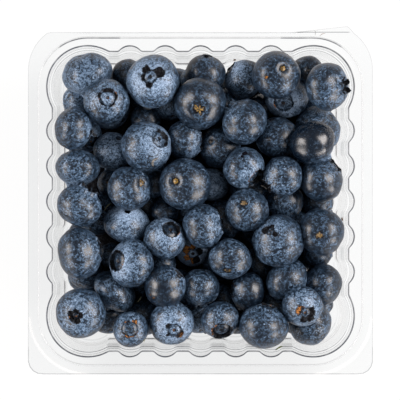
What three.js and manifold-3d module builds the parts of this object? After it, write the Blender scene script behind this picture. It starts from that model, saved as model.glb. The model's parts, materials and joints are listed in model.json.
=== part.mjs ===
// Punnet of blueberries.
//
// A shallow square tray, thermoformed from one sheet of clear plastic, heaped with loose
// blueberries up to its rim. The tray has four round corner lobes, five small flutes in each
// side that stiffen the wall, a raised ledge round the mouth that its lid would snap on to, and
// a thin flange outside the ledge. The lid has been torn off along its hinge at the back, so the
// flange's back edge is straight, with a sliver of the hinge left on its right.
//
// Units are millimetres, +Z is up, +Y is the back edge with the hinge, +X is to the right.
// The origin is the middle of the bottom of the whole part's box.

import * as THREE from 'three';
import { mergeVertices } from 'three/addons/utils/BufferGeometryUtils.js';
import Module from 'manifold-3d';

const wasm = await Module();
wasm.setup();

// ---- driving sizes of the tray ---------------------------------------------------------------
const TRAY_HEIGHT = 36;           // table to the top of the ledge
const SHEET = 0.7;                // wall of the tray
const GAP = 0.35;                 // clear space kept between the berries and the tray

const FLANGE_HALF_X = 60;
const FLANGE_BACK = 58.5;         // the straight edge left by the torn hinge
const FLANGE_FRONT = -60.57;
const FLANGE_BACK_RADIUS = 15.8;
const FLANGE_BACK_CENTRE_Y = 45.3;
const FLANGE_FRONT_RADIUS = 4.7;
const FLANGE_DROP = 3.7;          // underside of the flange below the top of the ledge
const SLIVER = [[32.8, 58.5], [51.4, 60.57], [52.9, 58.9]];   // what is left of the hinge

const MOUTH_CENTRE_Y = -0.4;      // the cavity sits a little to the front of the flange's middle
const LAND_HALF = [51.2, 51.8];   // straight lands of the mouth, half apart in x and in y
const LOBE_CENTRE = [39.1, 39.75];
const LOBE_RADIUS = 14.05;
const LEDGE_RADIUS = 17.2;        // outer edge of the ledge, round the same corner centres
const LOBE_STEPS = 8;             // facets round a lobe
const FLUTES = 5;                 // in each side
const FLUTE_STEPS = 4;
const FLUTE_PITCH = 12.24;
const FLUTE_CHORD = 7.8;
const FLUTE_DEPTH = 1.95;
const FLUTE_NARROWING = 0.25;     // of half its chord, for each mm that the wall moves in

const STACK_STEP_DEPTH = 5;       // below the rim, the small shelf that keeps stacked trays apart
const STACK_STEP_WIDTH = 0.9;
const RIM_TAPER = 0.35;           // how far the wall leans in from the rim to that shelf
const WALL_TAPER = 1.1;           // and from the shelf down to the floor's round edge

// ---- driving sizes of the heap ---------------------------------------------------------------
const EYE_HEIGHT = 1000;          // plan places are as seen from this far above the rim
const TOP = 3;
const MIDDLE = 2;
const LOW = 1;
const HEIGHT_BELOW_RIM = { [TOP]: 4.5, [MIDDLE]: 9.5, [LOW]: 16 };
const HIGHEST_CENTRE = TRAY_HEIGHT - 4;

// The berries that show from above: x, y, width across, height from stem to crown as a share of
// the width, the direction of that line in plan (its length is the sine of its tilt), and layer.
const SHOWN = [
  // back row, from left to right
  [-39.4, 43.8, 17.8, 0.80, -0.30, 0.93, TOP],
  [-16.4, 41.2, 18.6, 0.90, -0.12, 0.16, TOP],
  [-24.7, 42.9, 12.5, 0.90, 0.50, 0.50, MIDDLE],
  [1.6, 43.8, 14.2, 0.95, 0.10, 0.93, MIDDLE],
  [-2.1, 42.0, 10.1, 0.90, 0.00, 1.00, LOW],
  [15.2, 41.8, 14.4, 0.92, -0.80, 0.55, MIDDLE],
  [26.3, 43.3, 16.9, 0.95, 0.28, 0.28, TOP],
  [37.1, 44.3, 11.8, 0.92, 0.00, 0.10, LOW],
  [43.9, 39.5, 16.8, 0.84, 0.80, 0.00, TOP],
  // second row
  [-42.7, 34.6, 10.8, 0.92, -0.60, 0.30, LOW],
  [-32.6, 34.2, 16.0, 0.92, 0.09, 0.17, TOP],
  [-31.0, 31.4, 14.6, 0.90, 0.70, -0.60, LOW],
  [-18.9, 28.3, 10.8, 0.90, 0.20, 0.80, LOW],
  [-10.6, 33.3, 12.5, 0.90, 0.20, -0.80, LOW],
  [-0.1, 33.6, 18.2, 0.92, -0.05, -0.30, TOP],
  [15.2, 27.1, 16.2, 0.93, 0.75, -0.66, TOP],
  [29.7, 35.8, 15.3, 0.92, -0.18, -0.33, MIDDLE],
  [40.6, 24.6, 16.8, 0.90, 0.60, 0.60, MIDDLE],
  // third row
  [-44.0, 24.9, 14.9, 0.86, 0.95, -0.25, TOP],
  [-30.2, 16.9, 14.2, 0.93, 0.30, 0.70, MIDDLE],
  [-18.8, 18.6, 17.8, 0.93, 0.60, 0.33, TOP],
  [-5.5, 20.9, 14.2, 0.90, 0.95, -0.10, MIDDLE],
  [6.7, 18.4, 14.8, 0.92, -0.50, 0.30, MIDDLE],
  [26.6, 21.7, 15.2, 0.93, -0.30, 0.90, MIDDLE],
  [38.8, 20.0, 16.1, 0.90, -0.50, 0.80, TOP],
  // fourth row
  [-42.6, 11.3, 15.8, 0.79, 0.05, 1.00, TOP],
  [-30.5, 5.8, 10.8, 0.92, -0.30, 0.10, LOW],
  [-24.7, 4.0, 15.6, 0.95, 0.62, 0.28, TOP],
  [-5.4, 5.5, 18.4, 0.95, -0.38, 0.13, TOP],
  [4.0, 5.3, 12.1, 0.92, 0.60, 0.60, MIDDLE],
  [15.1, 11.2, 14.8, 0.92, 0.68, -0.60, TOP],
  [28.7, 8.4, 14.2, 0.93, -0.80, -0.50, TOP],
  [41.7, 7.2, 16.2, 0.92, 0.68, 0.66, MIDDLE],
  // fifth row
  [-42.1, -2.0, 16.2, 0.85, 0.50, 0.82, TOP],
  [-25.7, -8.0, 16.0, 0.79, 0.15, 0.78, MIDDLE],
  [-12.4, -13.3, 14.6, 0.93, 0.35, 0.52, TOP],
  [0.8, -9.1, 15.7, 0.89, 0.97, 0.15, TOP],
  [16.1, -3.5, 15.1, 0.95, -0.18, 0.38, TOP],
  [29.2, -0.6, 13.6, 0.93, 0.40, -0.70, MIDDLE],
  [40.7, -0.6, 11.8, 0.93, 0.70, -0.20, LOW],
  [41.8, -11.0, 16.4, 0.95, -0.13, -0.16, TOP],
  [27.0, -14.1, 18.4, 0.94, -0.36, 0.42, TOP],
  // sixth row
  [-41.9, -18.3, 18.3, 0.83, 0.97, 0.20, TOP],
  [-24.0, -21.9, 16.9, 0.87, -0.74, 0.14, TOP],
  [-30.9, -19.2, 9.0, 0.93, 0.30, 0.30, LOW],
  [-13.0, -22.0, 9.4, 0.93, 0.30, 0.80, LOW],
  [-2.9, -17.6, 11.1, 0.93, 0.05, -0.20, LOW],
  [10.3, -20.4, 15.0, 0.84, -0.18, -0.68, TOP],
  [40.6, -18.0, 11.1, 0.93, 0.80, -0.30, LOW],
  [29.8, -27.5, 15.6, 0.85, -0.70, 0.70, MIDDLE],
  // seventh row
  [-39.9, -24.7, 13.0, 0.93, -0.30, -0.80, LOW],
  [-41.5, -39.2, 17.5, 0.95, -0.20, -0.09, TOP],
  [-29.7, -31.5, 16.6, 0.70, 0.70, 0.70, MIDDLE],
  [-12.3, -29.9, 15.0, 0.97, 0.72, 0.60, TOP],
  [0.0, -30.1, 13.5, 0.95, 0.30, 0.90, MIDDLE],
  [16.4, -31.5, 13.7, 0.85, -0.95, 0.10, MIDDLE],
  [42.4, -29.3, 14.8, 0.88, 0.90, -0.30, MIDDLE],
  [35.3, -36.8, 14.4, 0.94, 0.13, -0.31, TOP],
  // front row
  [-32.1, -40.4, 12.5, 0.93, 0.20, -0.80, LOW],
  [-24.3, -44.7, 12.5, 0.94, -0.02, 0.05, TOP],
  [-10.0, -42.5, 15.7, 0.89, 0.16, -0.36, TOP],
  [-0.9, -40.9, 11.4, 0.93, 0.20, -0.80, LOW],
  [6.9, -41.5, 13.5, 0.91, 0.05, -0.70, TOP],
  [13.0, -42.4, 8.7, 0.93, 0.20, -0.80, LOW],
  [21.8, -43.7, 17.8, 0.845, 0.15, 0.96, TOP],
  [38.2, -43.0, 15.5, 0.90, 0.60, -0.60, MIDDLE],
  // deep ones, seen down between the others
  [-15.6, 5.6, 10.4, 0.93, 0.30, 0.50, LOW],
  [-12.3, -3.8, 10.4, 0.93, 0.30, 0.50, LOW],
  [21.3, 32.3, 9.4, 0.93, 0.30, 0.50, LOW],
  [42.1, -36.2, 8.3, 0.93, 0.80, -0.30, LOW],
];

// The ones under them fill the tray in two layers.
const FILL_PITCH = 14.2;
const FILL_HEIGHTS = [7.8, 19.5];
const FILL_RADIUS = [6.4, 8.0];
const FILL_JITTER = 1.5;
const FILL_REACH = 47.6;          // no hidden berry comes nearer to the wall than this half width
const FILL_CORNER = 88;           // or further into a corner than this sum of x and y
const FILL_OVERLAP = 0.62;        // a hidden berry starts at least this share of touch away
const SETTLE_STEPS = 300;
const TOUCH = 0.98;               // neighbours may press into one another by the rest
const RISE = 0.03;                // share of the way back to its layer that a berry goes in a step
const SINK = 0.08;                // how far a hidden one sinks in a step
const LIFT = 0.6;                 // share of a push that goes to height between berries that show
const YIELD = 1.4;                // a hidden berry gives way by this much of a push
const HOLD = 0.3;                 // and the one that shows by this much

const CORE_HALF = 42.5;           // the solid middle of the heap
const CORE_RADIUS = 17;
const CORE_TOP = 25.5;
const CORE_SHOULDER = 3;
const FIRM_JOINT = 15;            // mm3 that a berry shares with those below, or it gets a stalk
const STALK_LEAN = 0.84;          // its foot stands this share of the way out that its head does
const STALK_RADIUS = 0.4;         // as a share of the berry's
const FACET_SWELL = [1.08, 1.03]; // how far the corners of a coarse and of a fine ball stand out

// ---- small tools -----------------------------------------------------------------------------
let seed = 6006;
function random() {
  seed = (seed * 1103515245 + 12345) % 2147483648;
  return seed / 2147483648;
}

function clamp(value, low, high) {
  return Math.max(low, Math.min(high, value));
}

// Closed solid from any closed geometry.
function solid(geometry) {
  geometry.deleteAttribute('normal');
  geometry.deleteAttribute('uv');
  const merged = mergeVertices(geometry, 1e-5);
  return new wasm.Manifold(new wasm.Mesh({
    numProp: 3,
    vertProperties: new Float32Array(merged.attributes.position.array),
    triVerts: new Uint32Array(merged.index.array),
  }));
}

// Surface of a solid, without any hollow that joining has sealed and without loose scraps.
function surface(body) {
  const whole = body.decompose();
  whole.sort((a, b) => b.volume() - a.volume());
  const mesh = whole[0].getMesh();
  const count = mesh.vertProperties.length / mesh.numProp;
  const shell = new Int32Array(count).map((_, i) => i);
  const root = (i) => {
    let top = i;
    while (shell[top] !== top) top = shell[top];
    shell[i] = top;
    return top;
  };
  for (let t = 0; t < mesh.triVerts.length; t += 3) {
    shell[root(mesh.triVerts[t + 1])] = root(mesh.triVerts[t]);
    shell[root(mesh.triVerts[t + 2])] = root(mesh.triVerts[t]);
  }
  const size = new Map();
  for (let t = 0; t < mesh.triVerts.length; t += 3) {
    const key = root(mesh.triVerts[t]);
    size.set(key, (size.get(key) || 0) + 1);
  }
  const outer = [...size.entries()].sort((a, b) => b[1] - a[1])[0][0];
  const index = [];
  for (let t = 0; t < mesh.triVerts.length; t += 3) {
    if (root(mesh.triVerts[t]) === outer) index.push(...mesh.triVerts.slice(t, t + 3));
  }
  const geometry = new THREE.BufferGeometry();
  geometry.setAttribute('position', new THREE.BufferAttribute(mesh.vertProperties, 3));
  geometry.setIndex(index);
  const clean = geometry.toNonIndexed();
  clean.computeVertexNormals();
  return clean;
}

function prism(points, bottom, top) {
  const shape = new THREE.Shape(points.map(([x, y]) => new THREE.Vector2(x, y)));
  const geometry = new THREE.ExtrudeGeometry(shape, { depth: top - bottom, bevelEnabled: false });
  geometry.translate(0, 0, bottom);
  return solid(geometry);
}

// Solid skinned over rings of points that all have the same count, from the lowest ring up.
function loft(rings) {
  const count = rings[0].length;
  const position = [];
  const index = [];
  for (const ring of rings) {
    for (const point of ring) position.push(...point);
  }
  for (let level = 0; level + 1 < rings.length; level += 1) {
    for (let i = 0; i < count; i += 1) {
      const a = level * count + i;
      const b = level * count + (i + 1) % count;
      index.push(a, b, b + count, a, b + count, a + count);
    }
  }
  const bottomMiddle = position.length / 3;
  position.push(0, MOUTH_CENTRE_Y, rings[0][0][2]);
  position.push(0, MOUTH_CENTRE_Y, rings[rings.length - 1][0][2]);
  const last = (rings.length - 1) * count;
  for (let i = 0; i < count; i += 1) {
    index.push(bottomMiddle, (i + 1) % count, i);
    index.push(bottomMiddle + 1, last + i, last + (i + 1) % count);
  }
  const geometry = new THREE.BufferGeometry();
  geometry.setAttribute('position', new THREE.Float32BufferAttribute(position, 3));
  geometry.setIndex(index);
  return solid(geometry);
}

function arc(centre, radius, from, to, steps) {
  const points = [];
  for (let i = 0; i <= steps; i += 1) {
    const angle = from + (to - from) * i / steps;
    points.push([centre[0] + radius * Math.cos(angle), centre[1] + radius * Math.sin(angle)]);
  }
  return points;
}

function roundedSquare(halfX, halfY, radius, steps) {
  const points = [];
  for (let corner = 0; corner < 4; corner += 1) {
    const start = corner * Math.PI / 2;
    const sx = corner === 0 || corner === 3 ? 1 : -1;
    const sy = corner < 2 ? 1 : -1;
    const centre = [sx * (halfX - radius), MOUTH_CENTRE_Y + sy * (halfY - radius)];
    points.push(...arc(centre, radius, start, start + Math.PI / 2, steps));
  }
  return points;
}

// ---- tray ------------------------------------------------------------------------------------
// Outline of the cavity, moved in by `inset`, with its flutes at `flute` of their full depth.
// It runs anticlockwise from the middle of the right-hand side.
function mouthOutline(inset, flute) {
  const points = [];
  for (let side = 0; side < 4; side += 1) {
    const turn = side * Math.PI / 2;
    const across = side % 2 === 0 ? 0 : 1;
    const land = LAND_HALF[across] - inset;
    const depth = FLUTE_DEPTH * flute;
    const half = FLUTE_CHORD / 2 - FLUTE_NARROWING * inset;
    const local = [];
    for (let i = 0; i < FLUTES; i += 1) {
      const middle = (i - (FLUTES - 1) / 2) * FLUTE_PITCH;
      const radius = (half * half + depth * depth) / (2 * depth);
      const reach = Math.asin(half / radius);
      for (let k = 0; k <= FLUTE_STEPS; k += 1) {
        const angle = reach * (2 * k / FLUTE_STEPS - 1);
        const out = land + depth - radius + radius * Math.cos(angle);
        local.push([out, middle + radius * Math.sin(angle)]);
      }
    }
    const centre = [LOBE_CENTRE[across], LOBE_CENTRE[1 - across]];
    const radius = LOBE_RADIUS - inset;
    const from = -Math.acos((land - centre[0]) / radius);
    const next = LAND_HALF[1 - across] - inset;
    const to = Math.PI / 2 + Math.acos((next - centre[1]) / radius);
    local.push(...arc(centre, radius, from, to, LOBE_STEPS));
    for (const [out, along] of local) {
      const x = out * Math.cos(turn) - along * Math.sin(turn);
      const y = out * Math.sin(turn) + along * Math.cos(turn);
      points.push([x, y + MOUTH_CENTRE_Y]);
    }
  }
  return points;
}

// How far the wall stands in from the rim at height z, and how much of the flutes is left there.
// The profile is that of the inside; `shift` moves it out for the outside of the sheet.
const WALL_PROFILE = [
  [0, 4.4, 0.35],
  [0.6, 3.1, 0.55],
  [2.2, RIM_TAPER + STACK_STEP_WIDTH + WALL_TAPER, 0.8],
  [7, RIM_TAPER + STACK_STEP_WIDTH + 0.8 * WALL_TAPER, 1],
  [TRAY_HEIGHT - SHEET - STACK_STEP_DEPTH - 0.7, RIM_TAPER + STACK_STEP_WIDTH, 1],
  [TRAY_HEIGHT - SHEET - STACK_STEP_DEPTH, RIM_TAPER, 1],
  [TRAY_HEIGHT - SHEET, 0, 1],
];

function cup(lift, shift, extra) {
  const rings = WALL_PROFILE.map(([z, inset, flute]) => (
    mouthOutline(inset + shift, flute).map(([x, y]) => [x, y, z + lift])
  ));
  if (extra) {
    rings.push(mouthOutline(shift, 1).map(([x, y]) => [x, y, TRAY_HEIGHT + extra]));
  }
  return loft(rings);
}

function flangeOutline() {
  const cy = FLANGE_BACK_CENTRE_Y;
  const meet = Math.asin((FLANGE_BACK - cy) / FLANGE_BACK_RADIUS);
  const half = FLANGE_HALF_X;
  const r = FLANGE_FRONT_RADIUS;
  const points = [];
  points.push(...arc([half - r, FLANGE_FRONT + r], r, -Math.PI / 2, 0, 4));
  points.push(...arc([half - FLANGE_BACK_RADIUS, cy], FLANGE_BACK_RADIUS, 0, meet, 6));
  points.push(...[...SLIVER].reverse());
  points.push(...arc([FLANGE_BACK_RADIUS - half, cy], FLANGE_BACK_RADIUS, Math.PI - meet,
    Math.PI, 6));
  points.push(...arc([r - half, FLANGE_FRONT + r], r, Math.PI, 1.5 * Math.PI, 4));
  return points;
}

function makeTray() {
  const low = TRAY_HEIGHT - FLANGE_DROP;
  const ledgeX = LOBE_CENTRE[0] + LEDGE_RADIUS;
  const ledgeY = LOBE_CENTRE[1] + LEDGE_RADIUS;
  const ledge = prism(roundedSquare(ledgeX, ledgeY, LEDGE_RADIUS, 8), low, TRAY_HEIGHT);
  const under = prism(roundedSquare(ledgeX - SHEET, ledgeY - SHEET, LEDGE_RADIUS - SHEET, 8),
    low - 1, TRAY_HEIGHT - SHEET);
  const flange = prism(flangeOutline(), low, low + SHEET);
  const rim = ledge.add(flange).subtract(under);
  return rim.add(cup(0, -SHEET, 0)).subtract(cup(SHEET, 0, 1));
}

// ---- heap ------------------------------------------------------------------------------------
// Half width of the cavity between its lands at height z.
function wallHalf(z) {
  const depth = TRAY_HEIGHT - z;
  const shelf = depth > STACK_STEP_DEPTH ? STACK_STEP_WIDTH : 0;
  return LAND_HALF[0] - RIM_TAPER - shelf - WALL_TAPER * clamp(depth / TRAY_HEIGHT, 0, 1);
}

// Places of all berries. Those that show keep their place in plan and find their height; the
// hidden ones are laid out in two layers and then pushed apart by their neighbours.
function settle() {
  const berries = SHOWN.map(([x, y, across, flat, tipX, tipY, layer]) => {
    const z = TRAY_HEIGHT - HEIGHT_BELOW_RIM[layer];
    const ball = across / 2 * Math.cbrt(flat);
    return { planX: x, planY: y, x, y, z, r: across / 2, ball, flat, tipX, tipY, layer };
  });
  const shown = berries.length;
  for (let level = 0; level < FILL_HEIGHTS.length; level += 1) {
    for (let i = -4; i < 5; i += 1) {
      for (let j = -4; j < 5; j += 1) {
        const x = (i + level / 2) * FILL_PITCH + (random() - 0.5) * FILL_JITTER;
        const y = (j + level / 2) * FILL_PITCH + (random() - 0.5) * FILL_JITTER;
        const r = FILL_RADIUS[0] + (FILL_RADIUS[1] - FILL_RADIUS[0]) * random();
        const z = FILL_HEIGHTS[level];
        const room = FILL_REACH - r + 4;
        const free = berries.slice(0, shown).every((b) => (
          Math.hypot(b.x - x, b.y - y, b.z - z) > FILL_OVERLAP * (b.ball + r)
        ));
        if (Math.abs(x) < room && Math.abs(y) < room && free) {
          berries.push({ x, y, z, r, ball: r, flat: 1, tipX: 0, tipY: 0, layer: 0 });
        }
      }
    }
  }
  for (let step = 0; step < SETTLE_STEPS; step += 1) {
    for (const b of berries) {
      const goal = b.layer ? TRAY_HEIGHT - HEIGHT_BELOW_RIM[b.layer] : 0;
      b.z += b.layer ? RISE * (goal - b.z) : -SINK;
    }
    for (let i = 0; i < berries.length; i += 1) {
      for (let j = i + 1; j < berries.length; j += 1) pushApart(berries[i], berries[j]);
    }
    berries.forEach(keepInside);
  }
  return berries;
}

function pushApart(a, b) {
  const dx = b.x - a.x;
  const dy = b.y - a.y;
  const dz = b.z - a.z;
  const reach = TOUCH * (a.ball + b.ball);
  const apart = Math.sqrt(dx * dx + dy * dy + dz * dz) + 1e-6;
  if (apart >= reach) return;
  const push = 0.5 * (reach - apart) / apart;
  if (a.layer && b.layer) {
    let up = dz > 0 ? 1 : -1;
    if (a.layer !== b.layer) up = b.layer > a.layer ? 1 : -1;
    const lift = LIFT * push * up * Math.max(0.25 * apart, Math.abs(dz));
    a.z -= lift;
    b.z += lift;
  } else if (a.layer) {
    b.x += YIELD * push * dx;
    b.y += YIELD * push * dy;
    b.z += YIELD * push * dz;
    a.z -= HOLD * push * dz;
  } else {
    a.x -= push * dx;
    a.y -= push * dy;
    a.z -= push * dz;
    b.x += push * dx;
    b.y += push * dy;
    b.z += push * dz;
  }
}

function keepInside(b) {
  b.z = clamp(b.z, SHEET + GAP + b.ball, HIGHEST_CENTRE);
  if (b.layer) {
    const spread = 1 + (TRAY_HEIGHT - b.z) / EYE_HEIGHT;
    b.x = b.planX * spread;
    b.y = b.planY * spread;
    return;
  }
  const room = Math.min(wallHalf(b.z) - GAP, FILL_REACH) - b.r;
  b.x = clamp(b.x, -room, room);
  b.y = clamp(b.y, MOUTH_CENTRE_Y - room, MOUTH_CENTRE_Y + room);
  const over = Math.abs(b.x) + Math.abs(b.y) + Math.SQRT2 * b.r - FILL_CORNER;
  if (over > 0) {
    b.x -= Math.sign(b.x) * over / 2;
    b.y -= Math.sign(b.y) * over / 2;
  }
}

// One berry: a ball pressed flat along the line from its stem to its crown.
// Its facets cut inside the true ball, so the corners stand out a little to make up for it.
function berrySolid(b) {
  const seen = b.layer >= MIDDLE;
  const r = b.r * FACET_SWELL[seen ? 1 : 0];
  const geometry = seen ? new THREE.IcosahedronGeometry(1, 1) : new THREE.OctahedronGeometry(1, 1);
  geometry.scale(r, r, r * b.flat);
  const rise = Math.sqrt(Math.max(0, 1 - b.tipX * b.tipX - b.tipY * b.tipY));
  const tip = new THREE.Vector3(b.tipX, b.tipY, rise).normalize();
  const turn = new THREE.Quaternion().setFromUnitVectors(new THREE.Vector3(0, 0, 1), tip);
  geometry.applyQuaternion(turn);
  geometry.translate(b.x, b.y, b.z);
  return solid(geometry);
}

function makeCore() {
  const ring = (half, z) => (
    roundedSquare(half, half, CORE_RADIUS, 4).map(([x, y]) => [x, y, z])
  );
  const bottom = SHEET + GAP;
  return loft([
    ring(CORE_HALF - CORE_SHOULDER, bottom),
    ring(CORE_HALF, bottom + CORE_SHOULDER),
    ring(CORE_HALF, CORE_TOP - CORE_SHOULDER),
    ring(CORE_HALF - CORE_SHOULDER, CORE_TOP),
  ]);
}

// A short stalk inside the heap, from the middle of a berry down into the core.
function stalkSolid(b) {
  const foot = new THREE.Vector3(b.x * STALK_LEAN, b.y * STALK_LEAN, CORE_TOP - CORE_SHOULDER - 2);
  const head = new THREE.Vector3(b.x, b.y, b.z);
  const along = head.clone().sub(foot);
  const radius = STALK_RADIUS * b.r;
  const geometry = new THREE.CylinderGeometry(radius, radius, along.length(), 5);
  const turn = new THREE.Quaternion();
  turn.setFromUnitVectors(new THREE.Vector3(0, 1, 0), along.clone().normalize());
  geometry.applyQuaternion(turn);
  geometry.translate(...foot.add(along.multiplyScalar(0.5)).toArray());
  return solid(geometry);
}

// Berries are joined from the lowest up. One that only just touches those below gets a stalk.
function makeHeap() {
  let heap = makeCore();
  for (const b of settle().sort((p, q) => p.z - q.z)) {
    const edge = Math.max(Math.abs(b.x), Math.abs(b.y)) + b.r;
    const buried = !b.layer && edge < CORE_HALF - 1;
    if (buried) continue;
    const berry = berrySolid(b);
    const held = heap.intersect(berry).volume() > FIRM_JOINT;
    heap = heap.add(berry);
    if (!held) heap = heap.add(stalkSolid(b));
  }
  return heap.intersect(cup(SHEET + GAP, GAP, 20));
}

// ---- the part --------------------------------------------------------------------------------
function named(name, body, colour, roughness, opacity) {
  const material = new THREE.MeshStandardMaterial({ color: colour, roughness, metalness: 0 });
  material.transparent = opacity < 1;
  material.opacity = opacity;
  const mesh = new THREE.Mesh(surface(body), material);
  mesh.name = name;
  return mesh;
}

const group = new THREE.Group();
group.add(named('tray', makeTray(), 0xe9eef0, 0.12, 0.35));
group.add(named('berries', makeHeap(), 0x35435f, 0.6, 1));

export default group;
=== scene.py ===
# %% [markdown]
# # A punnet of blueberries
#
# A shallow square tray of clear plastic, heaped with loose blueberries up to its rim. The lid has
# been torn off, so the berries show from straight above. The notebook first loads the packed
# model, which fixes every size, and then makes the two things that show: the tray, as one thin
# sheet pressed over a mould, and the berries, each with its own crown or stem scar and its own
# share of pale bloom.

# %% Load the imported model
import json
import math
import bpy
import numpy as np
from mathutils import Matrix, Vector
from mathutils.bvhtree import BVHTree

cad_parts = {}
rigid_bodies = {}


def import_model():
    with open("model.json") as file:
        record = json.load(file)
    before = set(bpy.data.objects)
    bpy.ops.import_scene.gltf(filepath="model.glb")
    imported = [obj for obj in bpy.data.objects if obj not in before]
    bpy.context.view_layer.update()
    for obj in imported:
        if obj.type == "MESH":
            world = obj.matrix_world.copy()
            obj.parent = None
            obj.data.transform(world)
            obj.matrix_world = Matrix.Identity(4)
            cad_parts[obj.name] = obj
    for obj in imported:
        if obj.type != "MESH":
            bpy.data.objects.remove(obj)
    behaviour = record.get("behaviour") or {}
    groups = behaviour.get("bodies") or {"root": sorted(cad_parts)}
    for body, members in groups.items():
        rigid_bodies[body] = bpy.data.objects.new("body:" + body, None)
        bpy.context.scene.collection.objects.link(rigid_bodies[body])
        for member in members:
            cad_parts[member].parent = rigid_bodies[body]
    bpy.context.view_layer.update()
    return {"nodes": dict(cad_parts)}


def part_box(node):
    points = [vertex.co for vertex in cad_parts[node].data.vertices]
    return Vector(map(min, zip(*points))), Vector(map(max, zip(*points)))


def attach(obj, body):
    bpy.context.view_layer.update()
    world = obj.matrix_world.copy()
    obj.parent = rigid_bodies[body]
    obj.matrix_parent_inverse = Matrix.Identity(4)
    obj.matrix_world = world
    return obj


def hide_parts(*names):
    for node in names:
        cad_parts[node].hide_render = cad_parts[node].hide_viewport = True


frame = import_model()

RIM_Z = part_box("tray")[1][2]
print("packed nodes:", sorted(frame["nodes"]))

# %% [markdown]
# ## The view
#
# The camera looks straight down from a metre above the rim, through a long lens, so that the low
# berries are hardly smaller than the high ones. A short lens held close would shrink whatever
# lies deep and show more of the tray's walls.

# %% Camera, sizes in metres
MM = 0.001
EYE_ABOVE_RIM = 1000 * MM
VIEW_WIDTH = 138.7 * MM
VIEW_CENTRE = (-0.17 * MM, 0.05 * MM)
NEAREST = 0.05
FARTHEST = 20
SENSOR = 36.0             # millimetres, as Blender gives a sensor and a lens

camera_data = bpy.data.cameras.new("camera")
camera_data.sensor_width = SENSOR
camera_data.lens = SENSOR * EYE_ABOVE_RIM / VIEW_WIDTH
camera_data.clip_start = NEAREST
camera_data.clip_end = FARTHEST
camera = bpy.data.objects.new("camera", camera_data)
camera.location = (*VIEW_CENTRE, RIM_Z + EYE_ABOVE_RIM)
bpy.context.scene.collection.objects.link(camera)
bpy.context.scene.camera = camera
print("lens, mm:", round(camera_data.lens, 1))


# %% [markdown]
# ## Materials as sums
#
# A material is a tree of nodes, and most of them only add, multiply or compare two values. Wired
# one by one they hide what is being worked out. So a small class stands for one value in the
# tree, and plain sums on it add the Math nodes. Every other node comes from one function, which
# takes its kind, its settings and the values or wires of its inputs.

# %% A value in a shader tree
class Wire:
    """A value in a shader tree. + - and * on it add the Math nodes, from either side."""

    def __init__(self, tree, socket):
        self.tree = tree
        self.socket = socket

    def node(self, kind, settings=None, values=None, out=0):
        return add_node(self.tree, kind, settings, values, out)

    def math(self, operation, first, second):
        return self.node("ShaderNodeMath", {"operation": operation}, {0: first, 1: second})

    def __add__(self, other):
        return self.math("ADD", self, other)

    def __radd__(self, other):
        return self.math("ADD", other, self)

    def __sub__(self, other):
        return self.math("SUBTRACT", self, other)

    def __rsub__(self, other):
        return self.math("SUBTRACT", other, self)

    def __mul__(self, other):
        return self.math("MULTIPLY", self, other)

    def __rmul__(self, other):
        return self.math("MULTIPLY", other, self)

    def power(self, exponent):
        return self.math("POWER", self, exponent)

    def absolute(self):
        return self.math("ABSOLUTE", self, 0.0)

    def root(self):
        return self.math("SQRT", self, 0.0)

    def clamp(self):
        return self.node("ShaderNodeClamp", {}, {0: self})

    def smooth(self, low, high):
        """0 below low, 1 above high and a soft step between them."""
        return self.node("ShaderNodeMapRange", {"interpolation_type": "SMOOTHSTEP"},
                         {0: self, 1: low, 2: high, 3: 0.0, 4: 1.0})

    def band(self, start, full, fade, stop):
        """0 below start, 1 from full to fade and 0 again above stop."""
        return self.smooth(start, full) * (1 - self.smooth(fade, stop))


# %% Nodes and materials
def add_node(tree, kind, settings=None, values=None, out=0):
    """One node of any kind: its settings first, then the values or wires of its inputs."""
    made = tree.nodes.new(kind)
    for name, value in (settings or {}).items():
        setattr(made, name, value)
    for key, value in (values or {}).items():
        if isinstance(value, Wire):
            tree.links.new(value.socket, made.inputs[key])
        else:
            made.inputs[key].default_value = value
    return Wire(tree, made.outputs[out]) if made.outputs else None


def blend_colour(tree, share, first, second):
    """first where share is 0, second where it is 1. Output 2 is the mixed colour."""
    return add_node(tree, "ShaderNodeMix", {"data_type": "RGBA"}, {0: share, 6: first, 7: second}, 2)


def new_material(name):
    material = bpy.data.materials.new(name)
    material.use_nodes = True
    material.node_tree.nodes.clear()
    return material, material.node_tree


def set_output(tree, shader):
    add_node(tree, "ShaderNodeOutputMaterial", {}, {"Surface": shader})


# %% [markdown]
# ## The floor and the light
#
# Four soft boxes stand round the punnet, two on each side. Each berry mirrors them as soft pale
# spots, away from its middle. A big light straight above would put one more spot in the middle of
# every berry, so there is none. The floor glows like a light table, so that it stays white under
# the clear plastic.

# %% Floor
FLOOR_SIZE = 1.6
FLOOR_DROP = 0.02 * MM
SEEN_GLOW = 0.93          # what the camera sees: a light table
SEEN_PAPER = 0.05
PAPER = 0.62              # what lights the punnet from below: grey paper

floor_material, tree = new_material("floor")
paper = add_node(tree, "ShaderNodeBsdfDiffuse", {}, {"Color": (PAPER, PAPER, PAPER, 1)})
shade = (SEEN_PAPER, SEEN_PAPER, SEEN_PAPER, 1)
seen_paper = add_node(tree, "ShaderNodeBsdfDiffuse", {}, {"Color": shade})
glow = add_node(tree, "ShaderNodeEmission", {}, {"Color": (1, 1, 1, 1), "Strength": SEEN_GLOW})
light_table = add_node(tree, "ShaderNodeAddShader", {}, {0: seen_paper, 1: glow})
seen = add_node(tree, "ShaderNodeLightPath", {}, {}, "Is Camera Ray")
set_output(tree, add_node(tree, "ShaderNodeMixShader", {}, {0: seen, 1: paper, 2: light_table}))

half = FLOOR_SIZE / 2
floor_mesh = bpy.data.meshes.new("floor")
corners = [(-half, -half), (half, -half), (half, half), (-half, half)]
floor_mesh.from_pydata([(x, y, -FLOOR_DROP) for x, y in corners], [], [(0, 1, 2, 3)])
floor_mesh.materials.append(floor_material)
floor = bpy.data.objects.new("floor", floor_mesh)
bpy.context.scene.collection.objects.link(floor)
print("floor, m across:", FLOOR_SIZE)

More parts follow.
